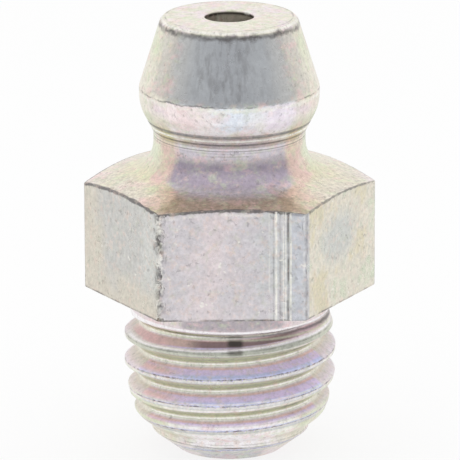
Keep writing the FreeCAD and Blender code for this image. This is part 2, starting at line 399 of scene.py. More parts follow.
INNER_CORNERS = [
    (2.82, 0.72, 0.1, 0.1),
    (1.9, 0.0, 0.08, 0.16),
    (LIP_RADIUS, 0.0, 0.05, 0.15),
    (LIP_RADIUS, LIP_HEIGHT, 0.04, 0.2),
    (BORE_RADIUS, LIP_HEIGHT, 0.06, 1.4),
    (BORE_RADIUS, SEAT_EDGE - (BORE_RADIUS - INLET_RADIUS), 0.08, 0.2),
    (INLET_RADIUS, SEAT_EDGE, 0.03, 0.2),
]
print("corners outside", len(OUTER_CORNERS), "and inside", len(INNER_CORNERS))

# %% [markdown]
# ## From corners to rings
#
# Each corner becomes an arc that touches both of its sides, and the straight runs are filled with evenly
# spaced points. Blender's Bevel could round the edges later, but it can't tell a fine tool mark from a broad
# fillet. Here each corner has a rounding of its own. Every point of the outline will be a ring of the body.

# %% Rings
ARC_STEPS = 4
FINE_ROUNDING = 0.02
LONGEST_REACH = 0.8


def rounded(before, corner, after):
    """The points of one rounded corner, as an arc that touches both sides."""
    here = Vector(corner[:2])
    back, ahead = Vector(before[:2]) - here, Vector(after[:2]) - here
    half = back.angle(ahead) / 2
    longest = LONGEST_REACH * min(back.length, ahead.length)
    reach = min(corner[2] / math.tan(half), longest)
    start, end = here + back.normalized() * reach, here + ahead.normalized() * reach
    centre = here + (back.normalized() + ahead.normalized()).normalized() * (reach / math.cos(half))
    fewest = 2 if corner[2] < FINE_ROUNDING else ARC_STEPS
    steps = max(fewest, math.ceil((math.pi - 2 * half) * corner[2] / corner[3]))
    arm_start, arm_end = start - centre, end - centre
    sweep = arm_start.angle_signed(arm_end)
    turns = [Matrix.Rotation(-sweep * i / steps, 2) for i in range(steps + 1)]
    return [centre + turn @ arm_start for turn in turns]


def trace(corners, first, last):
    """An outline through rounded corners, from one fixed end to the other."""
    chain = [first, *corners, last]
    points = [Vector(first[:2])]
    for before, corner, after in zip(chain, chain[1:], chain[2:]):
        arc = rounded(before, corner, after)
        points += fill(points[-1], arc[0], before[3])[1:] + arc[1:]
    return points + fill(points[-1], Vector(last[:2]), chain[-2][3])[1:]


def fill(start, end, spacing):
    """Evenly spaced points on a straight line, both ends included."""
    steps = max(1, math.ceil((end - start).length / spacing))
    return [start.lerp(end, i / steps) for i in range(steps + 1)]


MID_INLET = (INLET_RADIUS, TOTAL_HEIGHT - 0.3, 0, 0.1)
COLLAR_END = (COLLAR_RADIUS, COLLAR_FOOT, 0, 0.08)
TIP_START = (2.82, TIP_TOP, 0, 0.09)
outer_rings = trace(OUTER_CORNERS, MID_INLET, COLLAR_END)
inner_rings = trace(INNER_CORNERS, TIP_START, MID_INLET)[:-1]
print("rings above the thread", len(outer_rings), "and below it", len(inner_rings))

# %% [markdown]
# ## The skin of the blank
#
# Spinning the outline gives rings, and rings suit everything but the thread: a thread climbs, so its crest
# would cross the rings and look like a staircase. Between the collar and the tip the skin is therefore made
# of rows that climb with the thread, one pitch in each turn, so that crest and root run along mesh edges.
# Rows are added more densely where the thread bends, and columns where the hexagon has its corners and
# where its flats are scratched.

# %% Columns and rows
PITCH = 1.0
GROOVE_START = 0.22
ROW_PHASES = (0.0, 0.09, 0.14, 0.2, 0.27, 0.33, 0.38, 0.425, 0.465)
COLUMN_STEP = 1.8
SECTOR = 60.0


def column_angles():
    """Compass angles in degrees, closer together at the corners and on the worn places."""
    angles = set(np.round(np.arange(0, 360, COLUMN_STEP), 3))
    for corner in range(6):
        for offset in (0.45, 0.9, 1.35):
            angles.update({round((SECTOR * corner + side * offset) % 360, 3) for side in (-1, 1)})
    worn_edge = np.arange(236.0, 245.0, 0.4)
    scratches = np.arange(286.5, 297.0, 0.4)
    nicked_edge = np.arange(298.0, 303.0, 0.5)
    for fine in (worn_edge, scratches, nicked_edge):
        angles.update(np.round(fine, 3))
    ordered = sorted(angles)
    kept = [ordered[0]]
    for angle in ordered[1:]:
        if angle - kept[-1] > 0.3:
            kept.append(angle)
    return [math.radians(a) for a in kept]


columns = column_angles()
row_phases = sorted({*ROW_PHASES, *(1 - p for p in ROW_PHASES[1:]), 0.5})
print("columns", len(columns), "rows in one pitch", len(row_phases))

# %% [markdown]
# ## The shank before rolling
#
# A thread is rolled into a plain shank, which tapers at its lead so that the nipple starts into its hole
# easily, and thins a little towards the collar. The climbing rows cut this shank at a height that grows with
# the angle of the column.

# %% The shank
def blank_radius(height):
    """The radius of the shank before the thread is rolled, tapered at both ends."""
    heights = (TIP_TOP, 1.0, 1.13, 1.28, 1.43, 1.75, 2.9, 4.4, 4.65, 4.9, COLLAR_FOOT)
    radii = (2.82, 2.92, 3.12, 3.3, 3.42, 3.54, 3.78, 3.77, 3.66, 3.57, COLLAR_RADIUS)
    return float(np.interp(height, heights, radii))


def climbing_rows(angle):
    """(number, height) of each row that this column meets between the collar and the tip."""
    clearance = 0.02
    rows = []
    for turn in range(-2, 7):
        for i, phase in enumerate(row_phases):
            height = GROOVE_START + PITCH * (turn + phase + angle / FULL_TURN)
            if TIP_TOP + clearance < height < COLLAR_FOOT - clearance:
                rows.append((turn * len(row_phases) + i, height))
    return rows[::-1]


print("rows in the first column", len(climbing_rows(columns[0])))

# %% [markdown]
# ## Stitching the skin
#
# Each column lists its points from the mouth of the inlet round to the start again. Rings have the same
# key in every column. A climbing row keeps its number from one column to the next, and where the last
# column meets the first it has gained one pitch, so its number shifts by the rows in a pitch.

# %% The blank
def make_blank():
    """The closed skin, with a column of points for each angle."""
    points = []
    chains = []

    def add(radius, angle, height):
        points.append((radius * math.cos(angle) * MM, radius * math.sin(angle) * MM, height * MM))
        return len(points) - 1

    for angle in columns:
        upper = [(("outer", i), add(p.x, angle, p.y)) for i, p in enumerate(outer_rings)]
        rows = [(number, add(blank_radius(z), angle, z)) for number, z in climbing_rows(angle)]
        lower = [(("inner", i), add(p.x, angle, p.y)) for i, p in enumerate(inner_rings)]
        chains.append(upper + rows + lower)
    faces = []
    for i, left in enumerate(chains):
        last = i == len(chains) - 1
        right = chains[0] if last else chains[i + 1]
        shift = len(row_phases) if last else 0
        faces += stitch(left, right, shift)
    mesh = bpy.data.meshes.new("nipple_skin")
    mesh.from_pydata(points, [], faces)
    mesh.shade_smooth()
    return mesh


def stitch(left, right, shift):
    """Faces between two columns. Keys that both have are joined; the rest fill in the ends."""
    renamed = [(key - shift if isinstance(key, int) else key, point) for key, point in right]
    place = {key: i for i, (key, point) in enumerate(renamed)}
    faces = []
    before_left, before_right = 0, 0
    for i, (key, point) in enumerate(left[1:], start=1):
        if key not in place:
            continue
        j = place[key]
        side_left = [p for k, p in left[before_left:i + 1]]
        side_right = [p for k, p in renamed[before_right:j + 1]]
        faces.append(side_left + side_right[::-1])
        before_left, before_right = i, j
    faces.append([left[-1][1], left[0][1], renamed[0][1], renamed[-1][1]])
    return faces


body = new_piece("nipple_skin", make_blank())
print("blank", len(body.data.vertices), "points", len(body.data.polygons), "faces")

# %% [markdown]
# ## Milling the hexagon
#
# The bar is round so far. A hexagon's wall lies nearest to the axis in the middle of each flat, and moves
# out as one over the cosine of the angle from there. The recipe slides every point of the round stock in to
# that wall. Points on the shoulder slide with it and climb as its slope climbs, so the edge between the
# shoulder and a flat bows up in the middle, exactly as it does on a turned and milled nut. The recipe also
# stores how near a point is to an edge, for the wear and for the finish.

# %% Hexagon recipe
STOCK_FLOOR = 5.7
EDGE_REACH = 0.14
RIM_REACH = 0.2
RIM = (2.49, 15.56)


def nearness(radius, height, place, reach):
    """1 at one corner of the outline, falling to 0 at the reach."""
    across, up = radius - place[0], height - place[1]
    return (across * across + up * up).math("SQRT").ramp(reach, 0.0)


def mill_hexagon():
    """The recipe that turns round stock into a hexagon."""
    recipe = Recipe("Mill the hexagon", {
        "Across flats": HEX_FLATS,
        "Stock radius": CORNER_RADIUS,
        "Inner radius": COLLAR_RADIUS,
        "Bottom": HEX_BOTTOM,
        "Top": HEX_TOP,
        "Shoulder rise": math.tan(SHOULDER_SLOPE),
        "Corner rounding": 0.14,
    })
    radius, angle, height = recipe.polar()
    sector = math.radians(SECTOR)
    apothem = recipe.size("Across flats") / 2
    from_middle = (angle.math("FLOORED_MODULO", sector) - sector / 2).math("ABSOLUTE")
    this_flat = apothem / from_middle.math("COSINE")
    next_flat = apothem / (sector - from_middle).math("COSINE")
    wall = this_flat.math("SMOOTH_MIN", next_flat, recipe.size("Corner rounding"))
    stock, inner = recipe.size("Stock radius"), recipe.size("Inner radius")
    in_stock = height.math("GREATER_THAN", STOCK_FLOOR)
    share = ((radius - inner) / (stock - inner)).math("MAXIMUM", 0.0) * in_stock
    cut = share * (stock - wall)
    bottom, top = recipe.size("Bottom"), recipe.size("Top")
    level = ((height - bottom) / (top - bottom)).math("MINIMUM", 1.0).math("MAXIMUM", 0.0)
    lift = cut * recipe.size("Shoulder rise") * level

    flats = share.ramp(0.97, 0.995)
    upright = (wall * (sector / 2 - from_middle)).ramp(EDGE_REACH, 0.0) * flats
    recipe.store("flats", flats)
    recipe.store("upright_edge", upright)
    recipe.store("top_edge", nearness(radius, height, (CORNER_RADIUS, HEX_TOP), EDGE_REACH))
    recipe.store("bottom_edge", nearness(radius, height, (CORNER_RADIUS, HEX_BOTTOM), EDGE_REACH))
    recipe.store("rim", nearness(radius, height, RIM, RIM_REACH))
    recipe.place_polar(radius - cut, angle, height + lift)
    return recipe


milling = mill_hexagon()
print("milling", len(milling.tree.nodes), "nodes")

# %% [markdown]
# ## Rolling the thread
#
# A thread is a rule too: at any point, the height minus the climb tells how far across the groove it lies.
# The recipe rounds that number to find the nearest groove, builds the groove's section from two straight
# flanks with a soft root and a soft crest, and keeps whichever is nearer to the axis, the section or the
# blank. The tapered lead at the tip then tops the crests by itself. Past the last turn the groove fades out,
# as it does where the rolls open.

# %% Thread recipe
CLIMBING_SKIN = 2.2


def roll_thread():
    """The recipe that presses the thread's groove into the shank."""
    recipe = Recipe("Roll the thread", {
        "Pitch": PITCH,
        "Crest radius": CREST_RADIUS,
        "Depth": 0.54,
        "Root width": 0.18,
        "Flank slope": 1.6,
        "Root softness": 0.07,
        "Crest softness": 0.09,
        "Start": GROOVE_START,
        "Turns": 5.25,
        "Fade": 0.3,
        "Lip": 5.0,
    })
    radius, angle, height = recipe.polar()
    crest, turns = recipe.size("Crest radius"), recipe.size("Turns")
    root = crest - recipe.size("Depth")
    climb = (height - recipe.size("Start")) / recipe.size("Pitch") - angle / FULL_TURN
    groove = climb.math("ROUND")
    across = climb - groove
    away = across.math("ABSOLUTE") * recipe.size("Pitch")
    flank = root + (away - recipe.size("Root width") / 2) * recipe.size("Flank slope")
    section = flank.math("SMOOTH_MAX", root, recipe.size("Root softness"))
    section = section.math("SMOOTH_MIN", crest, recipe.size("Crest softness"))
    along = groove + angle / FULL_TURN
    depth_share = along.ramp(turns, turns - recipe.size("Fade"))
    section = crest + (section - crest) * depth_share
    lip = recipe.size("Lip")
    skin = radius.math("GREATER_THAN", CLIMBING_SKIN) * height.ramp(lip + 0.14, lip)
    cut = (radius - radius.math("SMOOTH_MIN", section, 0.03)) * skin
    recipe.store("across", across)
    threaded = cut.ramp(0.0, 0.06).math("MAXIMUM", away.ramp(0.36, 0.44) * depth_share)
    recipe.store("thread", threaded * skin)
    recipe.store("crest", away.ramp(0.42, 0.46) * skin * depth_share * (radius - root).ramp(0.15, 0.3))
    recipe.place_polar(radius - cut, angle, height)
    return recipe


rolling = roll_thread()
print("rolling", len(rolling.tree.nodes), "nodes")

# %% [markdown]
# ## Knocks and scratches
#
# This nipple has been tumbled in a barrel with others. The left front edge of the hexagon is chewed along
# its whole height, the right front edge has a few nicks, and a pair of deep scratches runs down the front
# flat beside it. The knocks are noise that acts only near an edge. The scratches are narrow dents that
# wander a little: each is its place across the flat, its half width and its depth, and a negative depth is
# the burr that is pushed up beside it. Doing this in the mesh, and not only in the shading, lets each nick
# catch the light.

# %% Wear recipe
CHEWED_EDGE = math.radians(240)
NICKED_EDGE = math.radians(300)
SCRATCHES = (
    (1.52, 0.05, -0.018), (1.63, 0.05, 0.03), (1.76, 0.045, -0.014), (2.0, 0.06, 0.05), (2.1, 0.05, -0.02),
)
WEAR_SEED = 3.0


def wear_edges(seed):
    """The recipe that chips the edges and scratches the front flat."""
    recipe = Recipe("Knocks and scratches", {
        "Chewed depth": 0.22,
        "Nicked depth": 0.12,
        "Common depth": 0.015,
        "Unevenness": 0.006,
        "Scratch depth": 1.0,
    })
    radius, angle, height = recipe.polar()
    x = radius * angle.math("COSINE")
    position = combine(recipe.tree, x, radius * angle.math("SINE"), height + seed)
    flats, upright = recipe.attribute("flats"), recipe.attribute("upright_edge")
    chips = noise(recipe.tree, position, 3.2, 3.0, 0.65).ramp(0.42, 0.68)
    fine_chips = noise(recipe.tree, position, 7.0, 2.0, 0.6).ramp(0.5, 0.75)
    chewed = ((angle - CHEWED_EDGE) * CORNER_RADIUS).bump(0.0, 0.42) * flats
    nicked = ((angle - NICKED_EDGE) * CORNER_RADIUS).bump(0.0, 0.25) * flats
    edges = upright.math("MAXIMUM", recipe.attribute("top_edge"))
    edges = edges.math("MAXIMUM", recipe.attribute("bottom_edge"))
    edges = edges.math("MAXIMUM", recipe.attribute("rim")).math("MAXIMUM", recipe.attribute("crest"))
    knocks = chips * chewed * recipe.size("Chewed depth") + chips * nicked * recipe.size("Nicked depth")
    knocks = knocks + fine_chips * edges * recipe.size("Common depth")
    wander = (noise(recipe.tree, combine(recipe.tree, 0.0, 0.0, height), 0.9) - 0.5) * 0.06
    on_front = flats * (angle - FRONT).math("ABSOLUTE").math("LESS_THAN", math.radians(SECTOR / 2))
    scratched = 0.0
    for place, width, depth in SCRATCHES:
        scratched = scratched + (x + wander).bump(place, width) * depth
    scratched = scratched * on_front * recipe.size("Scratch depth")
    uneven = (noise(recipe.tree, position, 1.1) - 0.5) * recipe.size("Unevenness")
    outside = radius.math("GREATER_THAN", CLIMBING_SKIN)
    recipe.place_polar(radius - (knocks + scratched + uneven) * outside, angle, height)
    return recipe


wearing = wear_edges(WEAR_SEED)
print("wearing", len(wearing.tree.nodes), "nodes")

# %% [markdown]
# ## Colours as they are seen
#
# The colours below are written as a painter would read them off the part, from 0 to 255. Blender mixes
# light, not paint, so each one is converted to its linear value first.

# %% Colour helpers
def seen(red, green, blue):
    """A colour as the eye reads it, turned into linear light."""
    channels = []
    for value in (red, green, blue):
        share = value / 255
        channels.append(share / 12.92 if share <= 0.04045 else ((share + 0.055) / 1.055) ** 2.4)
    return (*channels, 1.0)


def colour_ramp(tree, factor, stops):
    """A ramp through (place, colour) stops, from a field between 0 and 1."""
    node = add_node(tree, "ShaderNodeValToRGB", Fac=factor)
    ramp = node.color_ramp
    ramp.interpolation = "EASE"
    while len(ramp.elements) < len(stops):
        ramp.elements.new(1.0)
    for element, (place, colour) in zip(ramp.elements, stops):
        element.position = place
        element.color = seen(*colour)
    return node.outputs["Color"]


def mix_colour(tree, factor, first, second):
    """The first colour at factor 0 and the second at factor 1."""
    node = tree.nodes.new("ShaderNodeMix")
    node.data_type = "RGBA"
    slots = (node.inputs[0], node.inputs[6], node.inputs[7])
    for slot, value in zip(slots, (factor, first, second)):
        plug(tree, value, slot)
    return node.outputs[2]


print("a cream of 236, 231, 216 is", [round(c, 3) for c in seen(236, 231, 216)])

# %% [markdown]
# ## Starting a material
#
# Every material here starts with one Principled shader and reads the point in the object's own space, in
# millimetres, so that a size in a texture can be checked against a ruler. It can also read the numbers that
# the recipes stored, which tell it where the flats, the crests and the groove lie.

# %% Material helpers
def new_material(name):
    """An empty node material, its Principled shader and its tree."""
    material = bpy.data.materials.new(name)
    material.use_nodes = True
    tree = material.node_tree
    return material, tree, tree.nodes["Principled BSDF"]


def object_mm(tree):
    """The point being shaded, in millimetres of the object's own space."""
    coordinates = add_node(tree, "ShaderNodeTexCoord").outputs["Object"]
    node = add_node(tree, "ShaderNodeVectorMath", {"operation": "SCALE"}, Vector=coordinates)
    node.inputs["Scale"].default_value = 1 / MM
    return node.outputs[0]


def stored(tree, name):
    """A number that a recipe stored on the points."""
    node = add_node(tree, "ShaderNodeAttribute", {"attribute_name": name})
    return Field(tree, node.outputs["Fac"])


print("one unit of a texture is", MM, "m")

# %% [markdown]
# ## Shared effects: specks and drawn lines
#
# Small dark pits lie all over plated steel, on the ball and on the wire as well, only in other sizes. They
# are one shader group with named inputs. Fine lines from drawing or turning are a second group: noise that
# is stretched so far along one direction that it becomes a line.

# %% Shader groups
def new_group(name, inputs, outputs):
    """A shader group with named float inputs and outputs, plus a Vector input."""
    tree = bpy.data.node_groups.new(name, "ShaderNodeTree")
    tree.interface.new_socket("Vector", in_out="INPUT", socket_type="NodeSocketVector")
    for label, value in inputs.items():
        socket = tree.interface.new_socket(label, in_out="INPUT", socket_type="NodeSocketFloat")
        socket.default_value = value
    for label in outputs:
        tree.interface.new_socket(label, in_out="OUTPUT", socket_type="NodeSocketFloat")
    return tree, tree.nodes.new("NodeGroupInput"), tree.nodes.new("NodeGroupOutput")


def make_specks():
    """Pits that gather in patches."""
    tree, source, sink = new_group("Specks", {"Scale": 8.0, "Amount": 0.5}, ("Mask",))
    vector = source.outputs["Vector"]
    scale = Field(tree, source.outputs["Scale"])
    amount = Field(tree, source.outputs["Amount"])
    spots = noise(tree, vector, scale, 2.0, 0.6)
    patches = noise(tree, vector, scale * 0.17, 1.0)
    threshold = 0.8 - amount * 0.2 - patches * 0.08
    plug(tree, spots.ramp(threshold, threshold + 0.06), sink.inputs["Mask"])
    return tree


def make_lines():
    """Fine parallel lines across the Vector's X part, broken up slowly along its Z part."""
    tree, source, sink = new_group("Fine lines", {"Lines": 14.0, "Length": 1.5}, ("Height",))
    x, y, z = split(tree, source.outputs["Vector"])
    lines = Field(tree, source.outputs["Lines"])
    length = Field(tree, source.outputs["Length"])
    stretched = combine(tree, x * lines, y * 0.0, z / length)
    plug(tree, noise(tree, stretched, 1.0, 3.0, 0.7), sink.inputs["Height"])
    return tree


SPECKS, LINES = make_specks(), make_lines()


def use_group(tree, group, vector, **values):
    """One output of a shared group, with its own values here."""
    node = tree.nodes.new("ShaderNodeGroup")
    node.node_tree = group
    plug(tree, vector, node.inputs["Vector"])
    for name, value in values.items():
        node.inputs[name].default_value = value
    return Field(tree, node.outputs[0])


print("groups", SPECKS.name, "and", LINES.name)

# %% [markdown]
# ## The passivated zinc
#
# Zinc plate is dipped in a bath that leaves a clear film, thinner than a wavelength of light, and the film
# tints the metal as oil tints a puddle. Its thickness changes where the part hung in the bath and where the
# metal was worked, so each turned zone has its own run of tints. A shader for thin films would need the
# thickness everywhere, which nobody can read off a part. The tints are therefore painted, in the object's
# own space, and the first step is a palette of what the eye reads off the metal. Metal also shows what it
# mirrors, so many tints below are painted reflection, painted highlight and painted shade as the camera
# sees them, laid on the film's own colour.

# %% A palette
CREAM = (236, 231, 216)
IVORY = (250, 248, 240)
STRAW = (228, 222, 192)
SALMON = (238, 212, 198)
ROSE = (236, 208, 216)
PINK = (238, 225, 228)
ORCHID = (234, 214, 252)
LILAC = (214, 208, 217)
SKY = (206, 212, 254)
MAUVE = (190, 182, 188)
VIOLET = (180, 169, 184)
BLUE_GREY = (200, 204, 208)
PEARL = (236, 237, 240)
STONE = (214, 209, 201)
SILVER = (208, 209, 210)
GREY_GREEN = (202, 205, 188)
LIME = (226, 230, 204)
OLIVE = (198, 189, 160)
BROWN = (186, 166, 148)
IRON = (112, 108, 108)
UMBER = (176, 168, 152)
MILK = (255, 250, 252)
PLUM = (146, 122, 116)
DUSTY = (226, 199, 188)
FOG = (204, 202, 207)
SAND = (227, 219, 202)
BLUSH = (244, 206, 208)
LEAF = (214, 230, 188)
SOOT = (74, 68, 62)
print("the palette runs from", SOOT, "to", MILK)

# %% [markdown]
# ## Tints by height
#
# Going up the part, the film changes from one turned zone to the next: tip, lead, collar, shoulder, neck,
# band and cone. There is one run of tints up the front and back, another up the sides, and a third for the
# border between them. The run up the front is partly film and partly painted reflection: the brown front of
# the shoulder paints the dark that it mirrors, and the milky underside of the head and the milky lead paint
# the bright floor that they mirror. A stop is a height in millimetres above the tip's face, and its tint. A
# ramp that eases between stops looks like a film, where a hard step would look like paint.

# %% Tints by height
# Brown at the shoulder and milk under the head and on the lead are painted reflection.
FRONT_TINTS = [
    (0.0, FOG), (0.55, FOG), (0.75, MILK), (1.6, MILK), (5.18, PINK), (5.28, MAUVE), (5.9, MAUVE),
    (9.8, BROWN), (10.05, BROWN), (10.25, LILAC), (10.4, VIOLET), (10.95, VIOLET), (11.15, MAUVE),
    (11.4, LILAC), (12.1, MILK), (12.55, MILK), (12.9, PEARL), (13.2, PEARL), (13.3, BLUE_GREY),
    (15.8, BLUE_GREY),
]
BORDER_TINTS = [
    (0.0, PINK), (1.4, IVORY), (5.3, PINK), (5.9, CREAM), (9.8, OLIVE), (10.1, SALMON), (10.5, DUSTY),
    (11.2, DUSTY), (12.0, STRAW), (12.5, CREAM), (12.9, PINK), (13.3, CREAM), (13.5, STONE),
    (15.4, STONE), (15.8, CREAM),
]
SIDE_TINTS = [
    (0.0, PINK), (0.9, CREAM), (1.4, LIME), (5.3, PINK), (5.9, CREAM), (9.7, PINK), (10.0, SAND),
    (10.3, STRAW), (10.8, LIME), (12.4, LIME), (12.9, CREAM), (13.4, CREAM), (14.0, CREAM),
    (15.0, LIME), (15.8, CREAM),
]


def height_ramp(tree, height, tints):
    """The tint at this height."""
    top = TOTAL_HEIGHT + 0.2
    return colour_ramp(tree, height / top, [(z / top, tint) for z, tint in tints])


def painted(tree, tint, strength, colour):
    """The tint with a colour laid over it, which hides it where the strength is 1."""
    return mix_colour(tree, strength.math("MINIMUM", 1.0), tint, seen(*colour))


print("stops up the front", len(FRONT_TINTS), "and up the sides", len(SIDE_TINTS))

# %% [markdown]
# ## The film and painted reflection on the turned faces
#
# A round face takes its tint from its height and from how far it turns aside. That turn is X as a share of
# the radius: 0 in front and behind, 1 at either side. It stands for the angle at which the camera meets the
# face, so the change from the front run to the side run is partly the film's own tint and partly painted
# reflection. Streaky noise wobbles the borders, as drops do when the part comes out of the bath. Three
# places have a tint of their own: the cone carries a painted reflection of the grey opening in front of it,
# a plain grey panel, the band under it drifts from pink over blue to lilac, and the top face is clouded.

# %% The film and painted reflection on the turned faces
MIRRORED_PANEL_TINTS = [(0.1, (190, 193, 197)), (0.4, (200, 203, 206)), (0.64, (216, 216, 214))]
BAND_PINK = (250, 236, 236)
BAND_BLUE = (236, 242, 252)
BAND_LILAC = (246, 236, 248)
TOP_FACE_TINTS = [(0.2, LIME), (0.45, CREAM), (0.75, PINK)]


def film_and_reflection_on_turned_faces(tree, point, streaks, patches, mottling):
    """Front, border and side tints, and the clouded top face."""
    x, y, z = split(tree, point)
    radius = (x * x + y * y).math("SQRT")
    aside = x.math("ABSOLUTE") / radius + z.ramp(10.4, 10.1) * 0.2 + streaks * 0.1
    level = z + mottling * 0.12
    front = height_ramp(tree, level, FRONT_TINTS)
    border = height_ramp(tree, level + patches * 0.3, BORDER_TINTS)
    side = height_ramp(tree, level + patches * 0.6, SIDE_TINTS)
    # Painted reflection: the cone mirrors the grey opening in front as a grey panel.
    front = mix_colour(tree, z.ramp(13.26, 13.34), front, colour_ramp(tree, aside, MIRRORED_PANEL_TINTS))
    band = z.ramp(12.2, 12.5) * z.ramp(13.3, 13.2)
    across = x + mottling
    front = painted(tree, front, across.ramp(-0.3, -1.3) * band, BAND_PINK)
    front = painted(tree, front, across.bump(0.1, 0.9) * band, BAND_BLUE)
    front = painted(tree, front, across.ramp(0.9, 1.5) * band * 0.8, BAND_LILAC)
    # Front, border and side runs meet as the face turns from the camera: film and painted reflection.
    tint = mix_colour(tree, aside.ramp(0.66, 0.76), front, border)
    tint = mix_colour(tree, (aside + patches * 0.2).ramp(0.84, 0.95), tint, side)
    top_face = colour_ramp(tree, patches * 1.5 + mottling * 1.5 + 0.5, TOP_FACE_TINTS)
    return mix_colour(tree, z.ramp(15.55, 15.68), tint, top_face)


print("top face", len(TOP_FACE_TINTS), "tints")

# %% [markdown]
# ## The film and painted reflection on the flats
#
# Each flat of the hexagon faces the camera at its own angle, so each has its own cast, partly the film's own
# tint and partly painted reflection: grey at the left, lilac in front, yellow-green with a grey patch at the
# right. A flat is told from its neighbour by X as a share of the radius, which is a half at the front
# corners. The three at the back repeat these casts.

# %% The film and painted reflection on the flats
FRONT_FLAT_TINTS = [(0.0, (228, 217, 219)), (0.35, (214, 209, 213)), (0.8, (206, 209, 210))]
RIGHT_FLAT_TINTS = [(0.1, (218, 224, 202)), (0.45, (229, 223, 209)), (0.8, (223, 215, 189))]
LEFT_FLAT = (205, 204, 200)
LEFT_WARM_TINT = (220, 212, 196)
LEFT_STRIP = (216, 217, 213)
RIGHT_GREY_PATCH = (207, 209, 205)


def film_and_reflection_on_flats(tree, point, patches, mottling):
    """Grey on the left, lilac in front, yellow-green on the right."""
    x, y, z = split(tree, point)
    radius = (x * x + y * y).math("SQRT")
    drift = patches * 0.9 + mottling * 0.5
    warm_tint = (x + drift).ramp(-4.3, -4.9).math("MAXIMUM", (z + drift * 2.0).ramp(7.6, 6.2))
    left = mix_colour(tree, warm_tint * 0.8, seen(*LEFT_FLAT), seen(*LEFT_WARM_TINT))
    left = painted(tree, left, (x + drift).ramp(-3.3, -2.9) * z.ramp(6.4, 7.4) * 0.7, LEFT_STRIP)
    from_middle = drift * 1.2 + (x + 0.8).math("ABSOLUTE") * 0.25 + 0.05
    front = colour_ramp(tree, from_middle, FRONT_FLAT_TINTS)
    right = colour_ramp(tree, drift * 1.9 + 0.5, RIGHT_FLAT_TINTS)
    grey_patch = ((x - 3.8) * (x - 3.8) * 1.8 + (z - 8.4) * (z - 8.4)).math("SQRT") + drift
    right = painted(tree, right, grey_patch.ramp(1.2, 0.4) * y.ramp(0.0, -1.0) * 0.9, RIGHT_GREY_PATCH)
    # Each flat's cast follows how it faces the camera: film and painted reflection.
    facing = x / radius
    tint = mix_colour(tree, facing.ramp(-0.49, -0.51), front, left)
    return mix_colour(tree, facing.ramp(0.49, 0.51), tint, right)


print("front flat", len(FRONT_FLAT_TINTS), "tints, right flat", len(RIGHT_FLAT_TINTS))

# %% [markdown]
# ## Lines on the head, the neck and the tip
#
# Plating is thin on a sharp edge and wears off there, and a rounded edge mirrors the dark in front of it, so
# the rim of the head and the edge of its band show dark broken lines, partly wear and partly painted
# reflection, with a painted highlight beside them. Under the head lie the marks of the turning tool, with
# dark lines of painted shade and a painted highlight along their grooves, and the inlet darkens with depth.
# Such a line is narrower than the mesh could follow, so it is paint: a bump of strength around one height,
# wobbled by noise.

# %% Lines on the turned faces
def lines_on_turned_faces(tree, point, tint, rough_noise, break_noise):
    """The rim, band edge and tool's marks with painted highlights and dark lines, the tip's line, the inlet.
    """
    x, y, z = split(tree, point)
    radius = (x * x + y * y).math("SQRT")
    outer = radius.ramp(2.3, 2.34)
    # Rim and band edge: dark lines, partly wear and partly painted reflection, and ivory painted highlights.
    ring = radius.bump(2.26, 0.05) * z.ramp(15.7, 15.78) * break_noise
    tint = painted(tree, tint, ring * 0.6, IRON)
    tint = painted(tree, tint, (z - rough_noise * 0.05).bump(15.73, 0.07) * outer * 0.9, IVORY)
    rim = (z + rough_noise * 0.35).bump(15.58, 0.16) * outer
    tint = painted(tree, tint, rim * (break_noise * 0.45 + 0.5), IRON)
    ragged = z + rough_noise * 0.2
    tint = painted(tree, tint, ragged.bump(13.14, 0.1) * (break_noise * 0.6 + 0.3), IVORY)
    tint = painted(tree, tint, ragged.bump(13.27, 0.05) * (1.0 - break_noise) * 0.8, IRON)
    # Under the head: dark lines of painted shade and a painted highlight along the tool's grooves.
    even = z + rough_noise * 0.015
    tint = painted(tree, tint, even.bump(12.1, 0.1) * 0.8, IRON)
    tint = painted(tree, tint, even.bump(11.94, 0.07) * 0.9, IVORY)
    tint = painted(tree, tint, even.bump(11.8, 0.06) * 0.8, IRON)
    tint = painted(tree, tint, even.bump(11.37, 0.04) * x.bump(0.0, 1.3) * 0.45, IRON)
    stripes = noise(tree, combine(tree, 0.0, 0.0, z * 12.0 + rough_noise * 0.3), 1.0, 1.0) - 0.5
    tint = painted(tree, tint, z.bump(11.62, 0.22) * stripes.ramp(-0.08, 0.1) * 0.7, IRON)
    tip_line = even.bump(0.67, 0.065) * (break_noise * 0.4 + 0.4 + x.bump(0.1, 0.5))
    tint = painted(tree, tint, tip_line, IRON)
    tint = painted(tree, tint, even.bump(0.8, 0.04) * (1.0 - break_noise) * 0.4, IRON)
    inlet = radius.ramp(0.92, 0.88) * z.ramp(15.76, 15.7) * z.math("GREATER_THAN", 11.0)
    tint = painted(tree, tint, inlet, UMBER)
    tint = painted(tree, tint, inlet * (z.ramp(15.6, 15.7) + break_noise * 0.5), SOOT)
    chip = ((x - 0.68) * (x - 0.68) + (y - 0.62) * (y - 0.62)).math("SQRT") + rough_noise * 0.1
    return painted(tree, tint, chip.ramp(0.2, 0.1) * z.ramp(15.68, 15.74), IVORY), inlet


print("lines for the head, the neck and the tip ready")

# %% [markdown]
# ## Lines on the hexagon
#
# The hexagon has a dark line along its upper edges, partly wear and partly painted reflection of the dark
# that the rounded edge mirrors, with a painted highlight under it in front. It has a dotted dark line along
# its lower edges, a chewed corner at the left whose chips get painted shade and painted highlight, and a
# painted highlight and a broken dark line at the right front corner. They need the distance to the nearest
# edge. The wall of a hexagon is the largest of three reaches, one for each pair of flats, and the gap to
# the second largest tells how far the corner is. Points with a Y below that of the front wall lie on the
# front flat.

# %% Lines on the hexagon
FRONT_WALL = -4.3


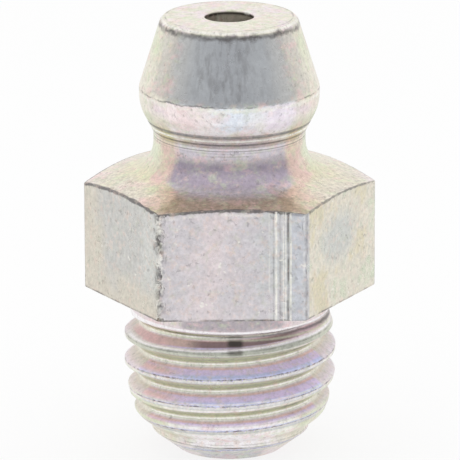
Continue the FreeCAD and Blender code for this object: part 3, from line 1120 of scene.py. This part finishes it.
def hexagon_distances(tree, point):
    """How far a point is from the hexagon's upper, lower and nearest upright edge."""
    x, y, z = split(tree, point)
    radius = (x * x + y * y).math("SQRT")
    reaches = []
    for degrees in (30, 90, 150):
        way = math.radians(degrees)
        reaches.append((x * math.cos(way) + y * math.sin(way)).math("ABSOLUTE"))
    first, second, third = reaches
    largest = first.math("MAXIMUM", second).math("MAXIMUM", third)
    smallest = first.math("MINIMUM", second).math("MINIMUM", third)
    middle = first + second + third - largest - smallest
    inward = (HEX_FLATS / 2 - largest).math("MAXIMUM", 0.0)
    rim_height = (CORNER_RADIUS - radius) * math.tan(SHOULDER_SLOPE) + HEX_TOP
    upper = inward + (rim_height - z).math("MAXIMUM", 0.0)
    lower = inward + (z - HEX_BOTTOM).math("ABSOLUTE")
    return upper, lower, (largest - middle) / math.sin(math.radians(60))


def lines_on_edges(tree, point, tint, rough_noise, break_noise):
    """The dark upper edges, the dotted lower edge, the chewed corners, and painted highlight and shade on
    them.
    """
    x, y, z = split(tree, point)
    upper, lower, upright = hexagon_distances(tree, point)
    flats = stored(tree, "flats")
    front = flats * y.math("LESS_THAN", FRONT_WALL)
    near_front = flats * y.math("LESS_THAN", 0.0)
    tall = z.ramp(HEX_BOTTOM - 0.02, HEX_BOTTOM + 0.02)
    right_rim = x.ramp(2.4, 2.7)
    # A painted highlight under the upper edge of the front flat.
    highlight_below_rim = (upper + rough_noise * 0.1).bump(0.17, 0.09) * front * break_noise
    tint = painted(tree, tint, highlight_below_rim * 0.4, IVORY)
    # The dark line along the upper edges: partly wear, partly painted reflection.
    rim = (upper + rough_noise * 0.16 + right_rim * 0.025).ramp(0.1, 0.05)
    tint = painted(tree, tint, rim * tall * (0.92 - right_rim * 0.2), IRON)
    tint = painted(tree, tint, (lower + rough_noise * 0.06).ramp(0.1, 0.04) * break_noise * 0.9, IRON)
    tint = painted(tree, tint, (upright + rough_noise * 0.05).ramp(0.1, 0.03) * flats * 0.5, IRON)
    # Painted shade and painted highlight on the chips of the left front corner.
    left = near_front * (x + rough_noise * 0.3).bump(-2.53, 0.2)
    chewed = noise(tree, point, 3.6, 3.0, 0.6).ramp(0.42, 0.56)
    tint = painted(tree, tint, left * chewed * (z.ramp(7.4, 8.8) * 0.55 + 0.4), IRON)
    tint = painted(tree, tint, left * (1.0 - chewed) * 0.8, IVORY)
    # A painted highlight beside the right front corner, and a broken dark line on it.
    right = near_front * (x + rough_noise * 0.08)
    tint = painted(tree, tint, right.bump(2.52, 0.07) * front * (1.1 - break_noise), IVORY)
    return painted(tree, tint, right.bump(2.62, 0.06) * front * break_noise * 1.2, IRON)


print("upper edges at the corners", round(HEX_TOP, 2), "mm up, lower edges", round(HEX_BOTTOM, 2), "mm")

# %% [markdown]
# ## Scratches on the front flat
#
# The scratches are dented into the mesh. Here each dent gets a painted highlight on its bright side and
# painted shade on its dark side, broken up by noise that is stretched along it, and the strip beside the
# right corner gets its paler cast. A scratch line is its place across the front flat, its half width, its
# strength and its colour.

# %% Scratches on the front flat
# Each line is a painted highlight in ivory or painted shade in iron.
SCRATCH_HIGHLIGHTS_AND_SHADES = (
    (1.3, 0.05, 0.35, IVORY), (1.45, 0.05, 0.35, IRON), (1.54, 0.07, 1.0, IVORY), (1.68, 0.06, 0.4, IRON),
    (1.79, 0.04, 0.7, IVORY), (1.87, 0.05, 0.7, IVORY), (1.96, 0.065, 0.9, IRON), (2.05, 0.055, 0.9, IVORY),
)
PALE_STRIP = (204, 206, 216)


def scratches_on_front(tree, point, tint, rough_noise):
    """The pale strip beside the right corner, and the painted highlights and shade of the scratches next to
    it.
    """
    x, y, z = split(tree, point)
    front = stored(tree, "flats") * y.math("LESS_THAN", FRONT_WALL)
    wander = noise(tree, combine(tree, 0.0, 0.0, z), 0.9) - 0.5
    across = x + wander * 0.05 + rough_noise * 0.03
    tint = painted(tree, tint, across.ramp(2.06, 2.1) * front * 0.6, PALE_STRIP)
    below = z * 1.3 + rough_noise * 0.6
    for place, width, strength, colour in SCRATCH_HIGHLIGHTS_AND_SHADES:
        broken = noise(tree, combine(tree, place * 9.0, 0.0, below), 1.0, 2.0).ramp(0.34, 0.56)
        line = across.bump(place, width) * front * (broken * 0.75 + 0.25) * strength
        tint = painted(tree, tint, line, colour)
    return tint


print("scratch lines", len(SCRATCH_HIGHLIGHTS_AND_SHADES))

# %% [markdown]
# ## The film and painted reflection in the grooves
#
# On a thread the film follows the thread. The recipe that rolled it stored how far across its groove each
# point lies, and one more ramp reads that: 0 is the crest below, 0.5 the root, 1 the crest above. The flank
# that faces up is blue, lilac and pink, the one that faces down is green, and the crests are worn to bare
# zinc with a dark broken line, partly wear and partly painted reflection. The white line by the root is a
# painted highlight, and a milky painted highlight lies under each crest. The tints also change as the
# thread turns from the camera, which is painted reflection: bluer in the middle, pinker at the left and pale
# where the thread turns to the side. Since the ramp reads a stored number, the bands climb with the thread.

# %% The film and painted reflection in the grooves
# The ivory stops by the root are a painted highlight.
GROOVE_TINTS = [
    (0.0, SILVER), (0.045, SILVER), (0.062, FOG), (0.08, SKY), (0.13, SKY), (0.2, ORCHID), (0.3, ORCHID),
    (0.35, BLUSH), (0.4, PINK), (0.435, IVORY), (0.46, LIME), (0.475, IVORY), (0.515, IVORY), (0.54, LIME),
    (0.62, LEAF), (0.7, GREY_GREEN), (0.78, LEAF), (0.86, LIME), (0.95, SILVER), (1.0, SILVER),
]
# Pale ends: painted reflection where the thread turns to the side.
MIRRORED_PALE_ENDS = [(0.1, PINK), (0.4, CREAM), (0.9, LIME)]


def film_and_reflection_in_grooves(tree, point, across, patches, rough_noise):
    """Bands across each groove, bluer or pinker in places and pale where they turn aside: painted
    reflection.
    """
    x, y, z = split(tree, point)
    radius = (x * x + y * y).math("SQRT")
    place = x + patches
    tint = colour_ramp(tree, across, GROOVE_TINTS)
    # Painted reflection: bluer in the middle and pinker at the left.
    tint = painted(tree, tint, across.bump(0.13, 0.12) * place.bump(-0.6, 2.0), SKY)
    tint = painted(tree, tint, across.bump(0.22, 0.2) * place.ramp(-1.4, -2.6), BLUSH)
    tint = painted(tree, tint, across.bump(0.69, 0.11) * place.bump(2.2, 0.8) * 0.7, IRON)
    # Painted reflection: the bands turn pale where the thread turns away to the side.
    mirrored_ends = colour_ramp(tree, across + patches * 0.4, MIRRORED_PALE_ENDS)
    aside = x.math("ABSOLUTE") / radius + rough_noise * 0.03
    return mix_colour(tree, aside.ramp(0.855, 0.885) * 0.85, tint, mirrored_ends)


def lines_on_crests(tree, point, tint, across, break_noise):
    """A milky painted highlight under each crest, and dark dashes along its upper edge."""
    grain = noise(tree, point, 5.0, 3.0, 0.7).ramp(0.4, 0.6)
    tint = painted(tree, tint, stored(tree, "crest") * across.ramp(0.5, 0.8) * 0.5, MILK)
    # The dashes are partly wear and partly painted reflection.
    dashes = across.bump(0.055, 0.05) * stored(tree, "thread") * grain
    return painted(tree, tint, dashes * (break_noise * 0.6 + 0.4), SOOT)


print("stops across a groove", len(GROOVE_TINTS))

# %% [markdown]
# ## The last turn under the collar
#
# Where the thread fades into the collar, the lip carries a painted highlight, with a dark line of painted
# shade and a pale line below it. The flank under them is painted brown as the shade that the hexagon above
# casts on it, and the crest is grey with a dark broken line and a painted highlight along its top. The
# smooth flank is also the one place that mirrors the dark eye of a lens, as a small blurred square. It is
# painted where the lens would be seen from the front, so it stays on the part when the part turns.

# %% The last turn under the collar
# Tints of the flank in painted shade.
SHADED_FLANK_TINTS = [(0.1, BLUSH), (0.25, DUSTY), (0.36, PLUM), (0.75, PLUM), (0.9, ROSE), (1.0, STONE)]
FLANK_WIDTH = 7.0


def lines_on_last_turn(tree, point, tint, rough_noise, break_noise):
    """The lip's painted highlight, the lines below it, the flank's painted shade, the grey crest, the dark
    square.
    """
    x, y, z = split(tree, point)
    skin = (x * x + y * y).math("SQRT").ramp(2.8, 3.0)
    front = skin * y.ramp(0.0, -1.2)
    level = z + rough_noise * 0.04
    climb = z - x * 0.05
    tint = painted(tree, tint, climb.ramp(4.36, 4.4) * climb.ramp(4.64, 4.6) * front * 0.8, GREY_GREEN)
    tint = painted(tree, tint, climb.bump(4.5, 0.03) * break_noise * front * 0.6, IRON)
    # A painted highlight along the top of the grey crest.
    tint = painted(tree, tint, climb.bump(4.59, 0.07) * front, MILK)
    # The brown flank is painted shade, cast by the hexagon above.
    flank = climb.ramp(4.66, 4.69) * climb.ramp(4.86, 4.8) * front
    tint = mix_colour(tree, flank * 0.92, tint, colour_ramp(tree, x / FLANK_WIDTH + 0.5, SHADED_FLANK_TINTS))
    # The lip's painted highlight, a dark line of painted shade under it, and a pale line below.
    tint = painted(tree, tint, level.ramp(5.24, 5.19) * level.ramp(5.0, 5.04) * skin, MILK)
    tint = painted(tree, tint, level.bump(4.94, 0.06) * skin * (x * 0.06 + 0.6).math("MAXIMUM", 0.3), IRON)
    tint = painted(tree, tint, level.bump(4.84, 0.05) * skin * 0.7, LIME)
    # The small dark square is a painted reflection of the lens.
    square = z.bump(4.95, 0.06) * 0.6 + z.bump(4.76, 0.16) * 1.2 + z.bump(4.5, 0.16) * 0.7
    middle = (x - 0.12 + rough_noise * 0.08).math("ABSOLUTE").ramp(0.36, 0.16)
    return painted(tree, tint, square * middle * front, SOOT)


print("flank under the collar", len(SHADED_FLANK_TINTS), "tints")

# %% [markdown]
# ## The whole finish
#
# The finish puts the layers on in turn: film, lines, clouds of warmer and cooler film, dark streaks of
# painted reflection on the cone's grey panel, grain, pits and painted glints on the flats. Plate under a
# film is not a plain metal. On the pale band and on the flanks that face up it is milky, so the metallic
# value drops there and the surface turns matt. The shader reads the same noise for colour, roughness and
# bump, because a pit is dark, rough and deep at once.

# %% The whole finish
PLATE_METALLIC = 0.8
PLATE_ROUGHNESS = 0.3
BUMP_STRENGTH = 0.3
BUMP_DEPTH = 0.02 * MM


def cloud(tree, vector, scale, end):
    """A soft cloud, 0 outside it and 1 where it is dense."""
    return noise(tree, vector, scale, 3.0, 0.7).ramp(0.5, end)


def make_plated_steel():
    """Zinc plate with its film, turning marks, pits and dark worn edges."""
    material, tree, shader = new_material("plated_steel")
    point = object_mm(tree)
    x, y, z = split(tree, point)
    radius = (x * x + y * y).math("SQRT")
    streaks = noise(tree, combine(tree, x * 5.0, y * 5.0, z * 0.5), 1.0, 3.0, 0.6) - 0.5
    patches = noise(tree, point, 0.7, 3.0, 0.6) - 0.5
    mottling = noise(tree, point, 2.6, 3.0, 0.65) - 0.5
    rough_noise = noise(tree, point, 3.2, 3.0, 0.6) - 0.5
    break_noise = noise(tree, point, 1.7, 3.0, 0.65).ramp(0.38, 0.62)
    flats, thread = stored(tree, "flats"), stored(tree, "thread")
    across = stored(tree, "across") + rough_noise * 0.025 + streaks * 0.03 + 0.5
    turn = x.math("ABSOLUTE") / radius

    tint = film_and_reflection_on_turned_faces(tree, point, streaks, patches, mottling)
    clear = 1.0 - z.ramp(13.3, 13.5) * turn.ramp(0.7, 0.6) * radius.ramp(2.2, 2.4)
    clear = clear * (1.0 - z.bump(12.7, 0.6) * 0.6)
    blush = cloud(tree, combine(tree, y, x, z * 1.6), 1.3, 0.66)
    leaf = cloud(tree, combine(tree, z * 1.6, y, x), 1.5, 0.66)
    tint = painted(tree, tint, blush * clear * 0.45, BLUSH)
    tint = painted(tree, tint, leaf * clear * 0.35, LEAF)
    tint = mix_colour(tree, flats, tint, film_and_reflection_on_flats(tree, point, patches, mottling))
    tint, inlet = lines_on_turned_faces(tree, point, tint, rough_noise, break_noise)
    tint = lines_on_edges(tree, point, tint, rough_noise, break_noise)
    tint = scratches_on_front(tree, point, tint, rough_noise)
    tint = mix_colour(tree, thread, tint, film_and_reflection_in_grooves(tree, point, across, patches, rough_noise))
    tint = lines_on_crests(tree, point, tint, across, break_noise)

    # The cone's panel: its dark streaks, darker in the middle, are painted reflection.
    cone = z.ramp(13.3, 13.5) * (turn + rough_noise * 0.03).ramp(0.7, 0.5) * radius.ramp(2.3, 2.4)
    middle = (x + 0.2).math("ABSOLUTE").ramp(1.4, 0.5) * 0.2 + 0.12
    tint = painted(tree, tint, cone * streaks.ramp(-0.08, 0.14) * middle, IRON)
    tint = painted(tree, tint, cloud(tree, point, 3.4, 0.72) * clear * 0.4, SALMON)
    tint = painted(tree, tint, cloud(tree, combine(tree, z, x, y), 3.1, 0.72) * clear * 0.4, GREY_GREEN)
    tint = lines_on_last_turn(tree, point, tint, rough_noise, break_noise)

    grain = noise(tree, point, 6.5, 4.0, 0.75) - 0.5
    shoulder = z.bump(10.0, 0.5) * (1.0 - flats)
    value = grain * (shoulder * 0.8 - cone * 0.4 + 0.75) + mottling * 0.25 + 1.0
    tint = add_node(tree, "ShaderNodeHueSaturation", Color=tint, Value=value).outputs[0]
    pits = use_group(tree, SPECKS, point, Scale=5.0, Amount=0.62)
    small_pits = use_group(tree, SPECKS, point, Scale=11.0, Amount=0.62)
    spots = pits.math("MAXIMUM", small_pits * 0.7)
    # Gleams are painted glints on the flats.
    gleams = use_group(tree, SPECKS, combine(tree, y, z, x), Scale=3.0, Amount=0.35)
    tint = painted(tree, tint, spots * 0.22, IRON)
    tint = painted(tree, tint, gleams * flats * 0.6, IVORY)
    plug(tree, tint, shader.inputs["Base Color"])

    upper_flank = across.bump(0.28, 0.27) * thread * 0.9
    matt = (z.bump(12.38, 0.34) * radius.ramp(2.5, 2.6)).math("MAXIMUM", upper_flank)
    plug(tree, PLATE_METALLIC - matt * PLATE_METALLIC, shader.inputs["Metallic"])
    roughness = PLATE_ROUGHNESS + patches * 0.15 + mottling * 0.1 + spots * 0.2 + inlet * 0.3 + matt * 0.2
    plug(tree, roughness, shader.inputs["Roughness"])
    rings = noise(tree, combine(tree, x * 0.2, y * 0.2, z * 16.0), 1.0, 2.0, 0.6)
    height = rings * 0.2 + mottling * 0.5 + grain * 0.6 - spots * 0.7
    bump = add_node(tree, "ShaderNodeBump", Height=height)
    bump.inputs["Strength"].default_value = BUMP_STRENGTH
    bump.inputs["Distance"].default_value = BUMP_DEPTH
    plug(tree, bump.outputs["Normal"], shader.inputs["Normal"])
    return material


plated_steel = make_plated_steel()
print("plated steel", len(plated_steel.node_tree.nodes), "nodes")

# %% [markdown]
# ## Shaping the body
#
# The three recipes run one after the other on the blank, in the order of the workshop: mill, roll, wear.
# The result is one closed skin that takes the place of the body in the frame.

# %% The body
for recipe in (milling, rolling, wearing):
    recipe.finish(plated_steel)
    recipe.apply(body)

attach(body, "fitting")
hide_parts("nipple_body")
triangles = sum(len(p.vertices) - 2 for p in body.data.polygons)
print("body", triangles, "triangles")

# %% [markdown]
# ## The ball
#
# The ball is a bearing ball: hardened, ground and polished, so it is nearly a mirror. The spring presses it
# into the cone under the inlet, where years of grease strokes leave a faint dull ring.

# %% Ball
BALL_RADIUS = 1.25
BALL_CENTRE = Vector((0, 0, 14.265))
SEAT_ANGLE = math.radians(45)
POLISHED = (214, 216, 220)
DULLED = (150, 148, 146)


def make_polished_steel():
    """Ground steel with the ring where the ball meets its seat."""
    material, tree, shader = new_material("polished_steel")
    point = object_mm(tree)
    x, y, z = split(tree, point)
    shader.inputs["Metallic"].default_value = 1.0
    contact = (z - BALL_CENTRE.z).bump(BALL_RADIUS * math.sin(SEAT_ANGLE), 0.07)
    pits = use_group(tree, SPECKS, point, Scale=12.0, Amount=0.4)
    tint = mix_colour(tree, contact * 0.5, seen(*POLISHED), seen(*DULLED))
    tint = mix_colour(tree, pits * 0.5, tint, seen(*BROWN))
    plug(tree, tint, shader.inputs["Base Color"])
    plug(tree, contact * 0.25 + pits * 0.3 + 0.12, shader.inputs["Roughness"])
    return material


def make_ball():
    """A round mesh with even faces, placed on its seat."""
    mesh = bpy.data.meshes.new("ball")
    shape = bmesh.new()
    bmesh.ops.create_icosphere(shape, subdivisions=5, radius=BALL_RADIUS * MM)
    bmesh.ops.translate(shape, verts=shape.verts, vec=BALL_CENTRE * MM)
    shape.to_mesh(mesh)
    shape.free()
    mesh.shade_smooth()
    mesh.materials.append(make_polished_steel())
    return new_piece("ball", mesh)


ball = make_ball()
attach(ball, "ball")
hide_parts("check_ball")
print("ball", len(ball.data.polygons), "faces")

# %% [markdown]
# ## Spring wire
#
# Spring wire is drawn through a die, which leaves fine lines along it. The lines group is used again here,
# with the vector's parts in the order that suits wire.

# %% Spring wire
WIRE_DARK = (148, 150, 154)
WIRE_BRIGHT = (196, 198, 202)


def make_spring_steel():
    """Drawn wire, with fine lines along it and a few brown pits."""
    material, tree, shader = new_material("spring_steel")
    point = object_mm(tree)
    x, y, z = split(tree, point)
    lines = use_group(tree, LINES, combine(tree, z, y, x), Lines=18.0, Length=0.8)
    pits = use_group(tree, SPECKS, point, Scale=14.0, Amount=0.5)
    tint = mix_colour(tree, lines, seen(*WIRE_DARK), seen(*WIRE_BRIGHT))
    tint = mix_colour(tree, pits * 0.5, tint, seen(*BROWN))
    plug(tree, tint, shader.inputs["Base Color"])
    shader.inputs["Metallic"].default_value = 1.0
    plug(tree, lines * 0.15 + pits * 0.2 + 0.25, shader.inputs["Roughness"])
    return material


spring_steel = make_spring_steel()
print("spring steel", len(spring_steel.node_tree.nodes), "nodes")

# %% [markdown]
# ## The spring
#
# A compression spring is wire wound on a pin, closed at both ends and ground flat there. The recipe takes a
# plain line, turns each of its points into one point of the winding, and sweeps a round wire along it. It
# then holds the wire between the two ground faces. The closed end coils rise by a wire's thickness in their
# turn, and the open coils share the rest.

# %% Spring
SPRING_RADIUS = 1.05
WIRE_RADIUS = 0.15
SPRING_FOOT = 0.5
SPRING_TOP = 13.294
OPEN_TURNS = 7.0
END_RISE = 0.32
STEPS_PER_TURN = 36


def wind_spring():
    """The recipe that winds the wire."""
    recipe = Recipe("Wind the spring", {
        "Coil radius": SPRING_RADIUS,
        "Wire radius": WIRE_RADIUS,
        "Foot": SPRING_FOOT,
        "Top": SPRING_TOP,
        "Open turns": OPEN_TURNS,
        "End rise": END_RISE,
    })
    foot, top = recipe.size("Foot"), recipe.size("Top")
    rise, turns = recipe.size("End rise"), recipe.size("Open turns")
    total = turns + 2.0
    count = int((OPEN_TURNS + 2) * STEPS_PER_TURN) + 1
    line = recipe.node("GeometryNodeCurvePrimitiveLine")
    curve = recipe.node("GeometryNodeResampleCurve", {"mode": "COUNT"}, Curve=line.outputs[0], Count=count)
    share = Field(recipe.tree, recipe.node("GeometryNodeSplineParameter").outputs["Factor"])
    turn = share * total
    half_wire = recipe.size("Wire radius") * 0.6
    open_rise = (top - foot - half_wire * 2.0 - rise * 2.0) / turns
    opened = (turn - 1.0).math("MAXIMUM", 0.0).math("MINIMUM", turns)
    closed = turn.math("MINIMUM", 1.0) + (turn - turns - 1.0).math("MAXIMUM", 0.0)
    height = foot + half_wire + closed * rise + opened * open_rise
    angle = turn * FULL_TURN
    coil = recipe.size("Coil radius") * MM
    wire_radius = recipe.size("Wire radius") * MM
    recipe.geometry = curve.outputs[0]
    recipe.place(combine(recipe.tree, coil * angle.math("COSINE"), coil * angle.math("SINE"), height * MM))
    section = recipe.node("GeometryNodeCurvePrimitiveCircle", Resolution=12, Radius=wire_radius)
    wire = recipe.node(
        "GeometryNodeCurveToMesh", Curve=recipe.geometry, Profile_Curve=section.outputs[0], Fill_Caps=True
    )
    recipe.geometry = wire.outputs[0]
    x, y, z = split(recipe.tree, recipe.node("GeometryNodeInputPosition").outputs[0])
    ground = z.math("MAXIMUM", foot * MM).math("MINIMUM", top * MM)
    recipe.place(combine(recipe.tree, x, y, ground))
    return recipe


spring = new_piece("valve_coil", bpy.data.meshes.new("valve_coil"))
winding = wind_spring()
winding.finish(spring_steel)
winding.apply(spring)
spring.data.shade_smooth()
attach(spring, "fitting")
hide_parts("valve_spring")
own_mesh(spring)
print("spring", len(spring.data.polygons), "faces")

# %% [markdown]
# ## Studio
#
# Metal shows what stands around it. The photo was taken in a white tent with the camera looking in at the
# front, so the surfaces that lean forward mirror a soft grey opening and all others mirror white. The world
# is that tent, and the camera sees it as plain white. Two soft lamps above it give the shadow a direction.

# %% The tent
TENT = 1.0
OPENING = 0.6
WHITE = (1.0, 1.0, 1.0, 1.0)


def make_world():
    """White cloth all round, with a grey opening where the camera looks in."""
    world = bpy.data.worlds.new("tent")
    world.use_nodes = True
    bpy.context.scene.world = world
    tree = world.node_tree
    background = tree.nodes["Background"]
    direction = add_node(tree, "ShaderNodeTexCoord").outputs["Generated"]
    x, y, z = split(tree, direction)
    level = (x * x + y * y).math("SQRT")
    ahead = (y * -1.0) / level.math("MAXIMUM", 0.001)
    opening = ahead.ramp(-0.25, 0.05) * z.ramp(-0.02, 0.06) * z.ramp(0.62, 0.5)
    grey = (OPENING, OPENING * 1.01, OPENING * 1.03, 1.0)
    tent = mix_colour(tree, opening, (TENT, TENT, TENT, 1.0), grey)
    eye = Field(tree, add_node(tree, "ShaderNodeLightPath").outputs["Is Camera Ray"])
    plug(tree, mix_colour(tree, eye, tent, WHITE), background.inputs["Color"])
    background.inputs["Strength"].default_value = 1.0


def add_lamp(name, place, size, power):
    """A soft square lamp, placed and sized in millimetres, that faces the middle of the nipple."""
    data = bpy.data.lights.new(name, "AREA")
    data.size = size * MM
    data.energy = power
    lamp = bpy.data.objects.new(name, data)
    position = Vector(place) * MM
    aim = (AIM - position).to_track_quat("-Z", "Y").to_matrix().to_4x4()
    lamp.matrix_world = Matrix.Translation(position) @ aim
    lamp.visible_glossy = False
    bpy.context.scene.collection.objects.link(lamp)
    return lamp


make_world()
add_lamp("lamp_overhead", (-10, 25, 90), 60, 0.004)
add_lamp("lamp_left", (-80, -35, 45), 40, 0.003)

# %% [markdown]
# ## The floor
#
# The nipple stands on white paper, which takes its soft shadow. Seen straight or mirrored in metal, the
# paper glows a little by itself, so that it stays white without more light on the nipple. For all other
# rays it is plain paper.

# %% The floor
FLOOR_SIZE = 400
PAPER_GLOW = 0.8
PAPER = (0.97, 0.97, 0.97, 1.0)


def make_floor():
    """A square of white paper under the tip."""
    material, tree, shader = new_material("paper")
    shader.inputs["Base Color"].default_value = PAPER
    shader.inputs["Roughness"].default_value = 0.9
    glow = add_node(tree, "ShaderNodeEmission")
    glow.inputs["Color"].default_value = WHITE
    path = add_node(tree, "ShaderNodeLightPath")
    seen_straight = Field(tree, path.outputs["Is Camera Ray"])
    seen_in_metal = Field(tree, path.outputs["Is Glossy Ray"])
    glowing = seen_straight.math("MAXIMUM", seen_in_metal) * PAPER_GLOW
    blend = add_node(tree, "ShaderNodeMixShader", Fac=glowing)
    tree.links.new(shader.outputs[0], blend.inputs[1])
    tree.links.new(glow.outputs[0], blend.inputs[2])
    tree.links.new(blend.outputs[0], tree.nodes["Material Output"].inputs["Surface"])
    half = FLOOR_SIZE / 2 * MM
    mesh = bpy.data.meshes.new("floor")
    corners = [(-half, -half, 0), (half, -half, 0), (half, half, 0), (-half, half, 0)]
    mesh.from_pydata(corners, [], [(0, 1, 2, 3)])
    mesh.materials.append(material)
    return new_piece("floor", mesh)


make_floor()
bpy.context.scene.view_settings.view_transform = "Standard"
print("floor", FLOOR_SIZE, "mm wide")
